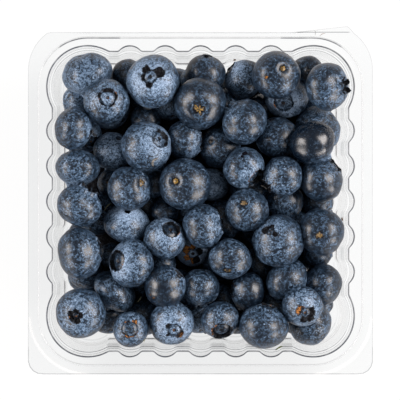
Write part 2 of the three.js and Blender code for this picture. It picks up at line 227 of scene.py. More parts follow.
# %% Lights
# name, turn about the vertical from +X, tilt from the vertical, distance, width, height, watts
SOFT_BOXES = [
    ("left", 171, 60, 0.9, 0.32, 0.50, 9.6),
    ("left_front", 214, 72, 0.9, 0.30, 0.38, 5.0),
    ("right", 16, 52, 0.9, 0.34, 0.50, 11.8),
    ("right_front", -38, 70, 0.9, 0.32, 0.42, 7.8),
]
SKY = 0.32
LAMP_TINT = (1.0, 0.93, 0.89)


def soft_box(name, turn, tilt, distance, width, height, watts):
    data = bpy.data.lights.new(name, "AREA")
    data.shape = "RECTANGLE"
    data.size = width
    data.size_y = height
    data.energy = watts
    data.color = LAMP_TINT
    lamp = bpy.data.objects.new(name, data)
    a, b = math.radians(turn), math.radians(tilt)
    lamp.location = (distance * math.sin(b) * math.cos(a),
                     distance * math.sin(b) * math.sin(a), distance * math.cos(b))
    lamp.rotation_euler = (0, b, a)
    bpy.context.scene.collection.objects.link(lamp)


for box in SOFT_BOXES:
    soft_box(*box)
world = bpy.data.worlds.new("sky")
world.use_nodes = True
world.node_tree.nodes["Background"].inputs["Color"].default_value = (1, 1, 1, 1)
world.node_tree.nodes["Background"].inputs["Strength"].default_value = SKY
bpy.context.scene.world = world
bpy.context.scene.view_settings.view_transform = "Standard"
print(len(SOFT_BOXES), "soft boxes")

# %% [markdown]
# ## The tray's outline
#
# The tray is pressed from one sheet of clear plastic. Its mouth is a rounded square with a big
# round lobe in each corner and five small flutes in each side, which stiffen the thin wall. All
# levels of the wall are the same outline, drawn in a little more towards the floor, so one
# function gives a ring of points for any level, and the sheet is skinned over a stack of rings.
# Drawing each level by hand would never keep the flutes in line.

# %% Sizes of the outline, in millimetres
CENTRE_Y = -0.4           # the mouth lies this far in front of the part's middle
LAND_HALF = (51.2, 51.8)  # from its middle to the lands, which lie between the flutes, in x and y
LOBE_CENTRE = (39.1, 39.75)
LOBE_RADIUS = 14.05
LEDGE_RADIUS = 17.2       # of the ledge's corner, about the lobe's centre
FLUTES = 5                # in each side
FLUTE_PITCH = 12.24
FLUTE_HALF = 3.95         # half the breadth of a flute
FLUTE_DEPTH = 1.95        # how far it stands out past the lands
SIDE_STEPS = 150          # points along a side, and round a lobe
LOBE_STEPS = 40
HEIGHT = RIM_Z / MM
print("rim height, mm:", round(HEIGHT, 2))


# %% One ring of the mouth
def flute_rise(along):
    """How far the wall bulges out at each place along a side, from 0 to 1."""
    rise = np.zeros_like(along)
    radius = (FLUTE_HALF ** 2 + FLUTE_DEPTH ** 2) / (2 * FLUTE_DEPTH)
    for i in range(FLUTES):
        off = np.clip(along - (i - (FLUTES - 1) / 2) * FLUTE_PITCH, -FLUTE_HALF, FLUTE_HALF)
        arch = np.sqrt(radius ** 2 - off ** 2) - (radius - FLUTE_DEPTH)
        rise = np.maximum(rise, arch / FLUTE_DEPTH)
    return rise


def mouth_ring(inset, flute):
    """Points of the outline moved in by inset, anticlockwise from the right-hand side."""
    points = []
    for side in range(4):
        across = side % 2
        land = LAND_HALF[across] - inset
        centre = (LOBE_CENTRE[across], LOBE_CENTRE[1 - across])
        radius = LOBE_RADIUS - inset
        start = -math.acos(min(1, (land - centre[0]) / radius))
        next_land = LAND_HALF[1 - across] - inset
        stop = math.pi / 2 + math.acos(min(1, (next_land - centre[1]) / radius))
        edge = centre[1] + radius * math.sin(start)
        before = LOBE_CENTRE[1 - across] + radius * math.sin(start)
        along = np.linspace(-before, edge, SIDE_STEPS, endpoint=False)
        out = land + FLUTE_DEPTH * flute * flute_rise(along)
        angle = np.linspace(start, stop, LOBE_STEPS, endpoint=False)
        out = np.concatenate([out, centre[0] + radius * np.cos(angle)])
        along = np.concatenate([along, centre[1] + radius * np.sin(angle)])
        turn = side * math.pi / 2
        points.append(np.stack([out * math.cos(turn) - along * math.sin(turn),
                                out * math.sin(turn) + along * math.cos(turn) + CENTRE_Y], 1))
    ring = np.concatenate(points)
    # half way towards the middle of its neighbours: this rounds the ends of the flutes
    return 0.5 * ring + 0.25 * (np.roll(ring, 1, 0) + np.roll(ring, -1, 0))


mouth = mouth_ring(0, 1)
print(len(mouth), "points in a ring, size, mm:", np.ptp(mouth, axis=0).round(1))


# %% [markdown]
# The ledge and the flange run round the mouth, with other outlines: the ledge's edge is a plain
# rounded square, and the flange is cut square at its front corners and straight at the back, where
# the lid's hinge was torn. To skin on outwards, each point of the mouth looks straight out, or
# radially in a corner, and takes the place where that line meets the next outline.

# %% Outlines of the ledge and the flange
FLANGE_HALF = 60
FLANGE_BACK = 58.5
FLANGE_FRONT = -60.57
BACK_RADIUS = 15.8
BACK_CENTRE_Y = 45.3
FRONT_RADIUS = 4.7
# the sliver of hinge that is left at the back right
HINGE_SLIVER = [(52.9, 58.9), (51.4, 60.57), (32.8, 58.5)]
TUCK = 0.07               # the sheet stops this far inside the flange's outline
OUTLINE_STEPS = 40        # round a corner of the ledge
BACK_STEPS = 30           # and round the flange's corners
FRONT_STEPS = 16


def arc(cx, cy, radius, start, stop, steps):
    angle = np.radians(np.linspace(start, stop, steps))
    return np.stack([cx + radius * np.cos(angle), cy + radius * np.sin(angle)], 1)


def rounded_square(half_x, half_y, radius):
    x, y = half_x - radius, half_y - radius
    corners = [(x, y, 0), (-x, y, 90), (-x, -y, 180), (x, -y, 270)]
    return np.concatenate([arc(cx, cy + CENTRE_Y, radius, turn, turn + 90, OUTLINE_STEPS)
                           for cx, cy, turn in corners])


def flange_outline():
    meet = math.degrees(math.asin((FLANGE_BACK - BACK_CENTRE_Y) / BACK_RADIUS))
    back_x, front_x = FLANGE_HALF - BACK_RADIUS, FLANGE_HALF - FRONT_RADIUS
    front_y = FLANGE_FRONT + FRONT_RADIUS
    return np.concatenate([
        arc(front_x, front_y, FRONT_RADIUS, 270, 360, FRONT_STEPS),
        arc(back_x, BACK_CENTRE_Y, BACK_RADIUS, 0, meet, BACK_STEPS),
        np.array(HINGE_SLIVER),
        arc(-back_x, BACK_CENTRE_Y, BACK_RADIUS, 180 - meet, 180, BACK_STEPS),
        arc(-front_x, front_y, FRONT_RADIUS, 180, 270, FRONT_STEPS),
    ])


flange = flange_outline()
print("flange, mm:", np.ptp(flange, axis=0).round(1))

# %% Look outwards from the mouth
NEARLY_PARALLEL = 1e-9
END_SLACK = 1e-6


def rays(ring):
    """Where each point of the mouth looks from, and its direction outwards."""
    limit = np.array(LOBE_CENTRE)
    shifted = ring - (0, CENTRE_Y)
    foot = np.clip(shifted, -limit, limit)
    way = shifted - foot
    way /= np.linalg.norm(way, axis=1)[:, None]
    return foot + (0, CENTRE_Y), way


def reach(outline, foot, way):
    """How far each ray runs until it leaves the outline."""
    edge = np.roll(outline, -1, 0) - outline
    cross = way[:, None, 0] * edge[None, :, 1] - way[:, None, 1] * edge[None, :, 0]
    cross = np.where(np.abs(cross) < NEARLY_PARALLEL, NEARLY_PARALLEL, cross)
    gap = outline[None] - foot[:, None]
    far = (gap[..., 0] * edge[None, :, 1] - gap[..., 1] * edge[None, :, 0]) / cross
    share = (gap[..., 0] * way[:, None, 1] - gap[..., 1] * way[:, None, 0]) / cross
    hit = (share >= -END_SLACK) & (share <= 1 + END_SLACK) & (far > 0)
    return np.where(hit, far, 0).max(1)


foot, way = rays(mouth)
mouth_reach = ((mouth - foot) * way).sum(1)
ledge_reach = reach(rounded_square(LOBE_CENTRE[0] + LEDGE_RADIUS, LOBE_CENTRE[1] + LEDGE_RADIUS,
                                   LEDGE_RADIUS), foot, way)
flange_reach = reach(flange, foot, way) - TUCK
print("ledge is", (ledge_reach - mouth_reach).min().round(1), "to",
      (ledge_reach - mouth_reach).max().round(1), "mm wide")


# %% [markdown]
# ## The sheet
#
# The sheet runs from the middle of the floor, up the wall, over the lip, along the ledge, down its
# skirt and out over the flange. Wherever it turns sharply, clear plastic gathers the dark of the
# room and shows as a thin grey line, while flat stretches are nearly invisible. Each ring
# therefore also carries a number, from 0 on a flat to 1 on a tight bend, which the material reads
# to paint that grey line in: painted refraction of the dark room. Solidify gives the skin its
# thickness, outwards and down, away from the berries.

# %% Levels of the sheet, in millimetres
SHEET = 0.42
INSIDE_FLOOR = 0.7
LIP = 0.7
# height above the inside floor, inset, share of the flutes left, and how dark the painted grey line
# of the bend is: on the lands between the flutes, and elsewhere. On the lands from 19 to 29.2 mm
# the small numbers paint a grey shade on the steep wall, where it has no tight bend
WALL = [
    (0.00, 9.0, 0.00, 0.0, 0.0), (0.00, 6.0, 0.10, 0.0, 0.0), (0.00, 4.9, 0.30, 0.0, 0.0),
    (0.04, 4.35, 0.36, 0.0, 0.0), (0.10, 4.1, 0.38, 0.0, 0.1), (0.20, 3.85, 0.40, 0.0, 0.1),
    (0.36, 3.6, 0.43, 0.0, 0.0), (0.70, 3.2, 0.50, 0.0, 0.0), (1.10, 2.88, 0.56, 0.0, 0.0),
    (1.60, 2.68, 0.60, 0.6, 0.1), (2.20, 2.50, 0.62, 0.75, 0.1), (3.00, 2.38, 0.64, 0.3, 0.0),
    (3.60, 2.35, 0.66, 0.0, 0.0), (5.40, 2.31, 0.67, 0.0, 0.15), (5.90, 2.27, 0.68, 0.0, 0.15),
    (8.00, 2.25, 0.69, 0.0, 0.0), (14.0, 2.00, 0.71, 0.0, 0.0), (19.0, 1.80, 0.71, 0.03, 0.0),
    (20.0, 1.75, 0.71, 0.11, 0.0), (26.0, 1.45, 0.68, 0.11, 0.0), (29.2, 1.27, 0.62, 0.11, 0.0),
    (29.45, 1.24, 0.58, 0.3, 0.25), (29.62, 1.14, 0.56, 0.4, 0.45),
    (29.68, 1.02, 0.55, 0.12, 0.05), (29.80, 0.62, 0.58, 0.12, 0.0), (30.00, 0.45, 0.62, 0.2, 0.2),
    (30.30, 0.36, 0.68, 0.0, 0.0), (31.5, 0.22, 0.86, 0.0, 0.0), (33.5, 0.10, 1.00, 0.0, 0.0),
]
# angle round the lip in degrees, and how dark the painted grey line of the bend is there
LIP_BENDS = [(4, 0.5), (16, 1.0), (50, 1.0), (66, 0.3), (78, 0.0), (90, 0.0)]
SKIRT = 3.0
FLANGE_Z = HEIGHT - SKIRT
# how far out from the ledge's corner and how far down, and how dark the painted grey line of the bend
# is there
LEDGE_BENDS = [(-0.5, 0, 0), (-0.28, 0.04, 0.7), (-0.1, 0.15, 1.0), (0, 0.4, 0.6), (0.02, 0.7, 0),
               (0.08, 2.4, 0), (0.14, 2.75, 0.1), (0.28, 2.93, 0.3), (0.5, SKIRT, 0.1),
               (0.75, SKIRT, 0)]
LEDGE_CORNER = 0.16       # the corner stands this far inside the ledge's outline
LAND_INSET = 0.5          # and the flat of the ledge ends this far inside it
FLANGE_START = 0.59       # where the flange starts, outside the ledge's outline
FLANGE_BENDS = [(0.35, 0.0), (0.12, 0.35), (0, 0.5)]      # back from its edge, and how dark the painted grey line is
TAB_RADIUS = 20.8         # of the crease from which a thumb tab bends down
TAB_DROP = 0.13           # how far it drops for each millimetre outwards
print(len(WALL), "levels in the wall")

# %% Where the painted grey lines of the bends show more or less
FACING = 0.9              # a ray with this share along an axis looks straight that way
HALF_FACING = 0.5         # and with this one it looks more or less that way
SQUARE_ON = 0.02          # a ray with less than this across isn't in a corner
SIDE_WALL = 0.5           # factor on the painted grey line of the wall at both sides
FRONT_WALL = 2.0          # and of the wall at the front
FRONT_WALL_FROM = 18      # from this height above the inside floor
LIP_ON_LAND = 0.25        # taken off the lip's painted grey line between the flutes
HINGE_ENDS = (28, 47)     # the painted grey line on the ledge's edge is darkest between these x, near the torn hinge
HINGE_ENDS_Y = 40
EDGE_AT_HINGE, EDGE_BACK, EDGE_LEFT, EDGE_ELSEWHERE = 1.0, 0.42, 0.05, 0.22
FLANGE_FRONT_BEND, FLANGE_BEND = 1.0, 0.4


def ring_on_rays(distance, z, bend):
    """A level of the sheet that lies this far out along the rays."""
    ring = foot + way * distance[:, None]
    height = np.full(len(ring), z) if np.isscalar(z) else z
    return np.column_stack([ring, height]), np.full(len(ring), bend)


def tab_drop(distance):
    """The flange's front corners are thumb tabs, bent down past a round crease."""
    corner = (np.abs(way[:, 0]) > SQUARE_ON) & (way[:, 1] < -SQUARE_ON)
    return np.where(corner, np.maximum(0, distance - TAB_RADIUS) * TAB_DROP, 0)


bulge = np.linalg.norm(mouth - mouth_ring(0, 0), axis=1) / FLUTE_DEPTH
in_side = np.arange(len(mouth)) % (SIDE_STEPS + LOBE_STEPS) < SIDE_STEPS
land = np.clip(1 - 2 * bulge, 0, 1) * in_side
beside = np.abs(way[:, 0]) > FACING
in_front = way[:, 1] < -FACING
print(int(land.sum()), "of", len(land), "points on the lands")

# %% The wall, the lip and the flat of the ledge
levels = []
for z, inset, flute, on_land, elsewhere in WALL:
    ring = mouth_ring(inset, flute)
    bend = elsewhere * np.where(beside, SIDE_WALL, 1) + (on_land - elsewhere) * land
    bend = bend * np.where(in_front & (z > FRONT_WALL_FROM), FRONT_WALL, 1)
    levels.append((np.column_stack([ring, np.full(len(ring), INSIDE_FLOOR + z)]), bend))
for angle, bend in LIP_BENDS:
    a = math.radians(angle)
    ring = mouth_ring(-LIP * (1 - math.cos(a)), 1)
    z = HEIGHT - LIP * (1 - math.sin(a))
    bend = bend * (1 - LIP_ON_LAND * land)
    levels.append((np.column_stack([ring, np.full(len(ring), z)]), bend))
for share in (0.25, 0.5, 0.75):
    start = mouth_reach + LIP
    levels.append(ring_on_rays(start + share * (ledge_reach - LAND_INSET - start), HEIGHT, 0.0))
print(len(levels), "rings up to the ledge")

# %% The ledge's edge, the skirt and the flange
side_of_mouth = np.abs(mouth[:, 0])
hinge_end = (side_of_mouth > HINGE_ENDS[0]) & (side_of_mouth < HINGE_ENDS[1])
hinge_end = hinge_end & (mouth[:, 1] > HINGE_ENDS_Y)
edge_grey = np.where(way[:, 0] < -FACING, EDGE_LEFT, EDGE_ELSEWHERE)
edge_grey = np.where(way[:, 1] > FACING, EDGE_BACK, edge_grey)
edge_grey = np.where(hinge_end, EDGE_AT_HINGE, edge_grey)
for out, down, bend in LEDGE_BENDS:
    ring, _ = ring_on_rays(ledge_reach - LEDGE_CORNER + out, HEIGHT - down, 0)
    levels.append((ring, bend * edge_grey))
skirt_foot = ledge_reach + FLANGE_START
for share in (0.3, 0.6, 0.85):
    distance = skirt_foot + share * (flange_reach - skirt_foot)
    levels.append(ring_on_rays(distance, FLANGE_Z - tab_drop(distance), 0))
front = np.where(way[:, 1] < -HALF_FACING, FLANGE_FRONT_BEND, FLANGE_BEND)
for back, bend in FLANGE_BENDS:
    distance = flange_reach - back
    ring, _ = ring_on_rays(distance, FLANGE_Z - tab_drop(distance), 0)
    levels.append((ring, bend * front))
print(len(levels), "rings")


# %% Skin the rings
def skin(name, levels, middle):
    """A mesh over the rings, from a middle point outwards, with the bend number for the painted grey
    lines as an attribute.
    """
    count = len(levels[0][0])
    points = np.concatenate([ring for ring, _ in levels] + [np.array([middle])])
    bends = np.concatenate([bend for _, bend in levels] + [np.zeros(1)])
    faces = []
    for level in range(len(levels) - 1):
        a = level * count + np.arange(count)
        b = level * count + (np.arange(count) + 1) % count
        faces.append(np.stack([a, a + count, b + count, b], 1))
    faces = [tuple(face) for face in np.concatenate(faces)[:, ::-1]]
    last = len(points) - 1
    faces += [(last, i, (i + 1) % count) for i in range(count)]
    mesh = bpy.data.meshes.new(name)
    mesh.from_pydata((points * MM).tolist(), [], faces)
    mesh.attributes.new("bend", "FLOAT", "POINT").data.foreach_set("value", bends)
    mesh.shade_smooth()
    return mesh


tray_skin = skin("tray_skin", levels, (0, CENTRE_Y, INSIDE_FLOOR))
tray_blank = bpy.data.objects.new("tray_blank", tray_skin)
bpy.context.scene.collection.objects.link(tray_blank)
thick = tray_blank.modifiers.new("sheet", "SOLIDIFY")
thick.thickness = SHEET * MM
thick.offset = -1
thick.use_even_offset = False
tray_mesh = bpy.data.meshes.new_from_object(
    tray_blank.evaluated_get(bpy.context.evaluated_depsgraph_get()))
bpy.data.objects.remove(tray_blank)
tray_mesh.name = "punnet_tray"
bends = np.zeros(len(tray_mesh.vertices))
tray_mesh.attributes["bend"].data.foreach_get("value", bends)
bends[len(tray_skin.vertices):] = 0
tray_mesh.attributes["bend"].data.foreach_set("value", bends)
tray = bpy.data.objects.new("punnet_tray", tray_mesh)
bpy.context.scene.collection.objects.link(tray)
print("tray:", len(tray_mesh.polygons), "faces")

# %% [markdown]
# ## Clear plastic
#
# A thin clear sheet does three things: it lets nearly all light straight through, it mirrors a
# little, more so at a glancing angle, and it turns grey where it bends, because there it bends the
# view of dark things into sight. Real refraction through two walls half a millimetre apart is
# noisy and slow, so the sheet is a mix: transparent, a painted grey veil for that refraction where
# the bend number is high, and a mirror layer by Fresnel on top. Painted shade greys the sheet on
# the left and in front, and a painted highlight whitens the thumb tabs' creases.

# %% What the sheet does to light
CLEAR = (0.966, 0.971, 0.973, 1)
# LINE: the dark colour mixed in for the painted grey lines, the painted shade and the torn hinge
LINE = (0.034, 0.040, 0.056, 1)
WHITE = (0.9, 0.9, 0.9, 1)
SHINE_ROUGHNESS = 0.3
SHINE = 0.12              # the share of a full mirror layer that shows
PLASTIC_IOR = 1.45
HAZE = 0.010              # milkiness everywhere and in smudges, and a painted highlight along the thumb tabs' creases
SMUDGE_HAZE = 0.006
CREASE_HIGHLIGHT = 0.10
SIDE_PAINTED_SHADE = 0.045         # painted shade: how much greyer the sheet is on the left and in front
FRONT_PAINTED_SHADE = 0.055
HINGE_GREY = 0.45         # how much greyer it is on the torn hinge
LINE_GREY = (0.85, 0.3)   # of a tight bend: everywhere, and in ripples along it

clear_material, tree = new_material("clear_plastic")
bend = add_node(tree, "ShaderNodeAttribute", {"attribute_name": "bend"}, {}, "Fac")
place = add_node(tree, "ShaderNodeTexCoord", {}, {}, "Object")
smudge = add_node(tree, "ShaderNodeTexNoise", {}, {"Vector": place, "Scale": 22.0, "Detail": 2.0})
ripple = add_node(tree, "ShaderNodeTexNoise", {}, {"Vector": place, "Scale": 260.0, "Detail": 2.0})
x, y = [add_node(tree, "ShaderNodeSeparateXYZ", {}, {0: place}, axis) for axis in "XY"]
through = add_node(tree, "ShaderNodeBsdfTransparent", {}, {"Color": CLEAR})
line = add_node(tree, "ShaderNodeBsdfDiffuse", {}, {"Color": LINE})
milk_and_highlight = add_node(tree, "ShaderNodeBsdfDiffuse", {}, {"Color": WHITE})
mirror = add_node(tree, "ShaderNodeBsdfGlossy", {},
                  {"Color": (1, 1, 1, 1), "Roughness": SHINE_ROUGHNESS})
fresnel = add_node(tree, "ShaderNodeFresnel", {}, {"IOR": PLASTIC_IOR})
print("clear plastic lets through:", CLEAR[:3])

# %% The creases' painted highlight, the torn hinge and the painted shade of the sides, in millimetres
CREASE = (-1.2, -0.6, -0.3, 0.3)      # across it: where it starts, is full, fades and stops
CREASE_FADE = 1
HINGE_Y = FLANGE_BACK - 0.1
HINGE_HALF = 0.22
HINGE_X = (30, 36, 51, 52.5)
SHADE_FROM_X = (-10, 58)                    # how far left the painted shade starts, and where it is full
SHADE_FROM_Y = (35, 52)                     # how far to the front
FAR_X, FAR_Y = (30, 50), (30, 52)     # both fade towards the corners
FAR_FADE = (0.8, 0.7)

aside = x.absolute() - LOBE_CENTRE[0] * MM
ahead = y - (CENTRE_Y - LOBE_CENTRE[1]) * MM
corner = (aside * aside + ahead * ahead).root()
crease_highlight = corner.band(*[(TAB_RADIUS + off) * MM for off in CREASE])
fade = CREASE_FADE * MM
crease_highlight = crease_highlight * aside.smooth(0.0, fade) * (0 - ahead).smooth(0.0, fade)
hinge = y.band((HINGE_Y - HINGE_HALF) * MM, HINGE_Y * MM, HINGE_Y * MM,
               (HINGE_Y + HINGE_HALF) * MM)
hinge = hinge * x.band(*[place_x * MM for place_x in HINGE_X]) * HINGE_GREY
far_x = x.absolute().smooth(FAR_X[0] * MM, FAR_X[1] * MM) * FAR_FADE[0]
far_y = y.absolute().smooth(FAR_Y[0] * MM, FAR_Y[1] * MM) * FAR_FADE[1]
# painted shade: the sheet is greyer on the left and in front
painted_shade = (0 - x).smooth(SHADE_FROM_X[0] * MM, SHADE_FROM_X[1] * MM) * (1 - far_y) * SIDE_PAINTED_SHADE
painted_shade = painted_shade + (0 - y).smooth(SHADE_FROM_Y[0] * MM, SHADE_FROM_Y[1] * MM) * (1 - far_x) * FRONT_PAINTED_SHADE
print("creases lie", TAB_RADIUS, "mm from the middles of the front lobes")

# %% Mix the layers and put them on the tray
# real milkiness and smudges, with a painted highlight along the thumb tabs' creases
haze_and_crease_highlight = HAZE + smudge.smooth(0.5, 0.75) * SMUDGE_HAZE + crease_highlight * CREASE_HIGHLIGHT
hazed_and_highlit = add_node(tree, "ShaderNodeMixShader", {}, {0: haze_and_crease_highlight, 1: through, 2: milk_and_highlight})
grey = painted_shade + hinge + bend * (LINE_GREY[0] + ripple.smooth(0.3, 0.6) * LINE_GREY[1])
lined = add_node(tree, "ShaderNodeMixShader", {}, {0: grey.clamp(), 1: hazed_and_highlit, 2: line})
sheet = add_node(tree, "ShaderNodeMixShader", {}, {0: fresnel * SHINE, 1: lined, 2: mirror})
set_output(tree, sheet)
tray_mesh.materials.clear()
tray_mesh.materials.append(clear_material)
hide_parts("tray")
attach(tray, "root")
print("clear plastic on", tray.name)

# %% [markdown]
# ## Where the berries lie
#
# From above, some seventy berries show, in no order at all, so their places in plan, their sizes
# and the way each one faces are a given list. How high each one lies is not: it follows
# from its neighbours. A small routine starts every berry at about the right height, fills the
# tray below with two more layers, and then lets overlapping berries push each other apart for a
# few hundred steps. It is the same rule that made the solid in the imported model.

# %% The berries that show
TOP, MIDDLE, LOW = 3, 2, 1
# x, y, width across, height from stem to crown as a share of the width, direction of the end that
# faces up (its length is the sine of its tilt), layer, what that end is, and how much bloom it has.
# On several middle and low berries the bloom is partly painted light: set higher than their wax,
# to lighten them where the heap shades them
SHOWN = [
    # back row, from left to right
    (-39.4, 43.8, 17.8, 0.80, -0.30, 0.93, TOP, "dim", 1.85),
    (-16.4, 41.2, 18.6, 0.90, -0.12, 0.16, TOP, "three lobes", 1.02),
    (-24.7, 42.9, 12.5, 0.90, 0.50, 0.50, MIDDLE, "plain", 0.45),
    (1.6, 43.8, 14.2, 0.95, 0.10, 0.93, MIDDLE, "shut", 0.05),
    (-2.1, 42.0, 10.1, 0.90, 0.00, 1.00, LOW, "plain", 2.00),
    (15.2, 41.8, 14.4, 0.92, -0.80, 0.55, MIDDLE, "worn", 1.15),
    (26.3, 43.3, 16.9, 0.95, 0.28, 0.28, TOP, "gold", 0.18),
    (37.1, 44.3, 11.8, 0.92, 0.00, 0.10, LOW, "dim", 0.20),
    (43.9, 39.5, 16.8, 0.84, 0.80, 0.00, TOP, "spread", 0.40),
    # second row
    (-42.7, 34.6, 10.8, 0.92, -0.60, 0.30, LOW, "plain", 1.70),
    (-32.6, 34.2, 16.0, 0.92, 0.09, 0.17, TOP, "ringed", 0.60),
    (-31.0, 31.4, 14.6, 0.90, 0.70, -0.60, LOW, "plain", 2.50),
    (-18.9, 28.3, 10.8, 0.90, 0.20, 0.80, LOW, "plain", 0.15),
    (-10.6, 33.3, 12.5, 0.90, 0.20, -0.80, LOW, "plain", 1.60),
    (-0.1, 33.6, 18.2, 0.92, -0.05, -0.30, TOP, "burst", 0.12),
    (15.2, 27.1, 16.2, 0.93, 0.75, -0.66, TOP, "plain", 0.40),
    # its bloom is partly painted light, where its neighbours shade it
    (29.7, 35.8, 15.3, 0.92, -0.18, -0.33, MIDDLE, "bowl", 1.20),
    (40.6, 24.6, 16.8, 0.90, 0.60, 0.60, MIDDLE, "plain", 1.05),
    # third row
    (-44.0, 24.9, 14.9, 0.86, 0.95, -0.25, TOP, "shut", 0.55),
    (-30.2, 16.9, 14.2, 0.93, 0.30, 0.70, MIDDLE, "plain", 2.20),
    (-18.8, 18.6, 17.8, 0.93, 0.60, 0.33, TOP, "torn", 0.84),
    (-5.5, 20.9, 14.2, 0.90, 0.95, -0.10, MIDDLE, "worn", 0.52),
    (6.7, 18.4, 14.8, 0.92, -0.50, 0.30, MIDDLE, "dim", 0.80),
    (26.6, 21.7, 15.2, 0.93, -0.30, 0.90, MIDDLE, "plain", 0.40),
    (38.8, 20.0, 16.1, 0.90, -0.50, 0.80, TOP, "plain", -0.95),
    # fourth row
    (-42.6, 11.3, 15.8, 0.79, 0.05, 1.00, TOP, "plain", 0.90),
    (-30.5, 5.8, 10.8, 0.92, -0.30, 0.10, LOW, "gold", 0.90),
    (-24.7, 4.0, 15.6, 0.95, 0.62, 0.28, TOP, "brown", 0.60),
    (-5.4, 5.5, 18.4, 0.95, -0.38, 0.13, TOP, "gold", 0.32),
    # its bloom is mostly painted light, to lighten it in the shade of its neighbours
    (4.0, 5.3, 12.1, 0.92, 0.60, 0.60, MIDDLE, "plain", 2.60),
    (15.1, 11.2, 14.8, 0.92, 0.68, -0.60, TOP, "well", 0.55),
    (28.7, 8.4, 14.2, 0.93, -0.80, -0.50, TOP, "ragged", 0.60),
    (41.7, 7.2, 16.2, 0.92, 0.68, 0.66, MIDDLE, "worn", 0.00),
    # fifth row
    (-42.1, -2.0, 16.2, 0.85, 0.50, 0.82, TOP, "ragged", 0.60),
    (-25.7, -8.0, 16.0, 0.79, 0.15, 0.78, MIDDLE, "shut", 1.60),
    (-12.4, -13.3, 14.6, 0.93, 0.35, 0.52, TOP, "pit", 0.85),
    (0.8, -9.1, 15.7, 0.89, 0.97, 0.15, TOP, "worn", 0.58),
    (16.1, -3.5, 15.1, 0.95, -0.18, 0.38, TOP, "brown", 0.52),
    (29.2, -0.6, 13.6, 0.93, 0.40, -0.70, MIDDLE, "plain", 0.60),
    (40.7, -0.6, 11.8, 0.93, 0.70, -0.20, LOW, "plain", 0.30),
    (41.8, -11.0, 16.4, 0.95, -0.13, -0.16, TOP, "brown", 0.18),
    (27.0, -14.1, 18.4, 0.94, -0.36, 0.42, TOP, "jagged", 0.47),
    # sixth row
    (-41.9, -18.3, 18.3, 0.83, 0.97, 0.20, TOP, "worn", 0.42),
    (-24.0, -21.9, 16.9, 0.87, -0.74, 0.14, TOP, "pit", 0.90),
    (-30.9, -19.2, 9.0, 0.93, 0.30, 0.30, LOW, "plain", 0.80),
    (-13.0, -22.0, 9.4, 0.93, 0.30, 0.80, LOW, "plain", 0.80),
    (-2.9, -17.6, 11.1, 0.93, 0.05, -0.20, LOW, "rusty", 2.40),
    (10.3, -20.4, 15.0, 0.84, -0.18, -0.68, TOP, "brown", 0.65),
    (40.6, -18.0, 11.1, 0.93, 0.80, -0.30, LOW, "plain", 0.50),
    (29.8, -27.5, 15.6, 0.85, -0.70, 0.70, MIDDLE, "plain", 0.35),
    # seventh row
    (-39.9, -24.7, 13.0, 0.93, -0.30, -0.80, LOW, "plain", 0.70),
    (-41.5, -39.2, 17.5, 0.95, -0.20, -0.09, TOP, "star", 0.62),
    (-29.7, -31.5, 16.6, 0.70, 0.70, 0.70, MIDDLE, "plain", 1.00),
    (-12.3, -29.9, 15.0, 0.97, 0.72, 0.60, TOP, "folded", -0.42),
    (0.0, -30.1, 13.5, 0.95, 0.30, 0.90, MIDDLE, "plain", 0.50),
    (16.4, -31.5, 13.7, 0.85, -0.95, 0.10, MIDDLE, "worn", -0.05),
    (42.4, -29.3, 14.8, 0.88, 0.90, -0.30, MIDDLE, "plain", 0.20),
    (35.3, -36.8, 14.4, 0.94, 0.13, -0.31, TOP, "cork", 0.66),
    # front row
    (-32.1, -40.4, 12.5, 0.93, 0.20, -0.80, LOW, "plain", 0.40),
    (-24.3, -44.7, 12.5, 0.94, -0.02, 0.05, TOP, "arcs", 0.44),
    (-10.0, -42.5, 15.7, 0.89, 0.16, -0.36, TOP, "dashed", 0.88),
    # its bloom is partly painted light, where its neighbours shade it
    (-0.9, -40.9, 11.4, 0.93, 0.20, -0.80, LOW, "plain", 1.90),
    (6.9, -41.5, 13.5, 0.91, 0.05, -0.70, TOP, "split", 0.22),
    (13.0, -42.4, 8.7, 0.93, 0.20, -0.80, LOW, "plain", 0.30),
    (21.8, -43.7, 17.8, 0.845, 0.15, 0.96, TOP, "worn", 0.24),
    (38.2, -43.0, 15.5, 0.90, 0.60, -0.60, MIDDLE, "plain", 0.78),
    # deep ones, seen down between the others
    (-15.6, 5.6, 10.4, 0.93, 0.30, 0.50, LOW, "plain", 0.60),
    (-12.3, -3.8, 10.4, 0.93, 0.30, 0.50, LOW, "plain", 0.30),
    (21.3, 32.3, 9.4, 0.93, 0.30, 0.50, LOW, "plain", -0.40),
    (42.1, -36.2, 8.3, 0.93, 0.80, -0.30, LOW, "plain", 0.30),
]
print(len(SHOWN), "berries show")

# %% Sizes of the heap, in millimetres
EYE = EYE_ABOVE_RIM / MM
BELOW_RIM = {TOP: 4.5, MIDDLE: 9.5, LOW: 16}
HIGHEST_CENTRE = HEIGHT - 4
CLEARANCE = 1.05          # under the lowest berry: the solid floor and a gap
GAP = 0.35                # beside the berries
RIM_TAPER = 0.35          # how far the wall leans in down to the stacking shelf
SHELF_DEPTH = 5           # that shelf lies this far below the rim
SHELF_WIDTH = 0.9
WALL_TAPER = 1.1          # and how far the wall leans in from there to the floor
FILL_ROWS = 4              # rows of hidden berries to each side of the middle one
FILL_PITCH = 14.2
FILL_HEIGHTS = (7.8, 19.5)
FILL_RADIUS = (6.4, 8.0)
FILL_JITTER = 1.5
FILL_REACH = 47.6         # no hidden berry comes nearer to the wall than this half width
FILL_SLACK = 4            # but it may start this much outside it
FILL_CORNER = 88          # nor further into a corner than this sum of x and y
FILL_OVERLAP = 0.62       # a hidden berry starts at least this share of touch away
SETTLE_STEPS = 300
TOUCH = 0.98              # neighbours may press into one another by the rest
RISE = 0.03               # share of the way back to its layer that a berry goes in a step
SINK = 0.08               # how far a hidden one sinks in a step
LIFT = 0.6                # share of a push that goes to height between berries that show
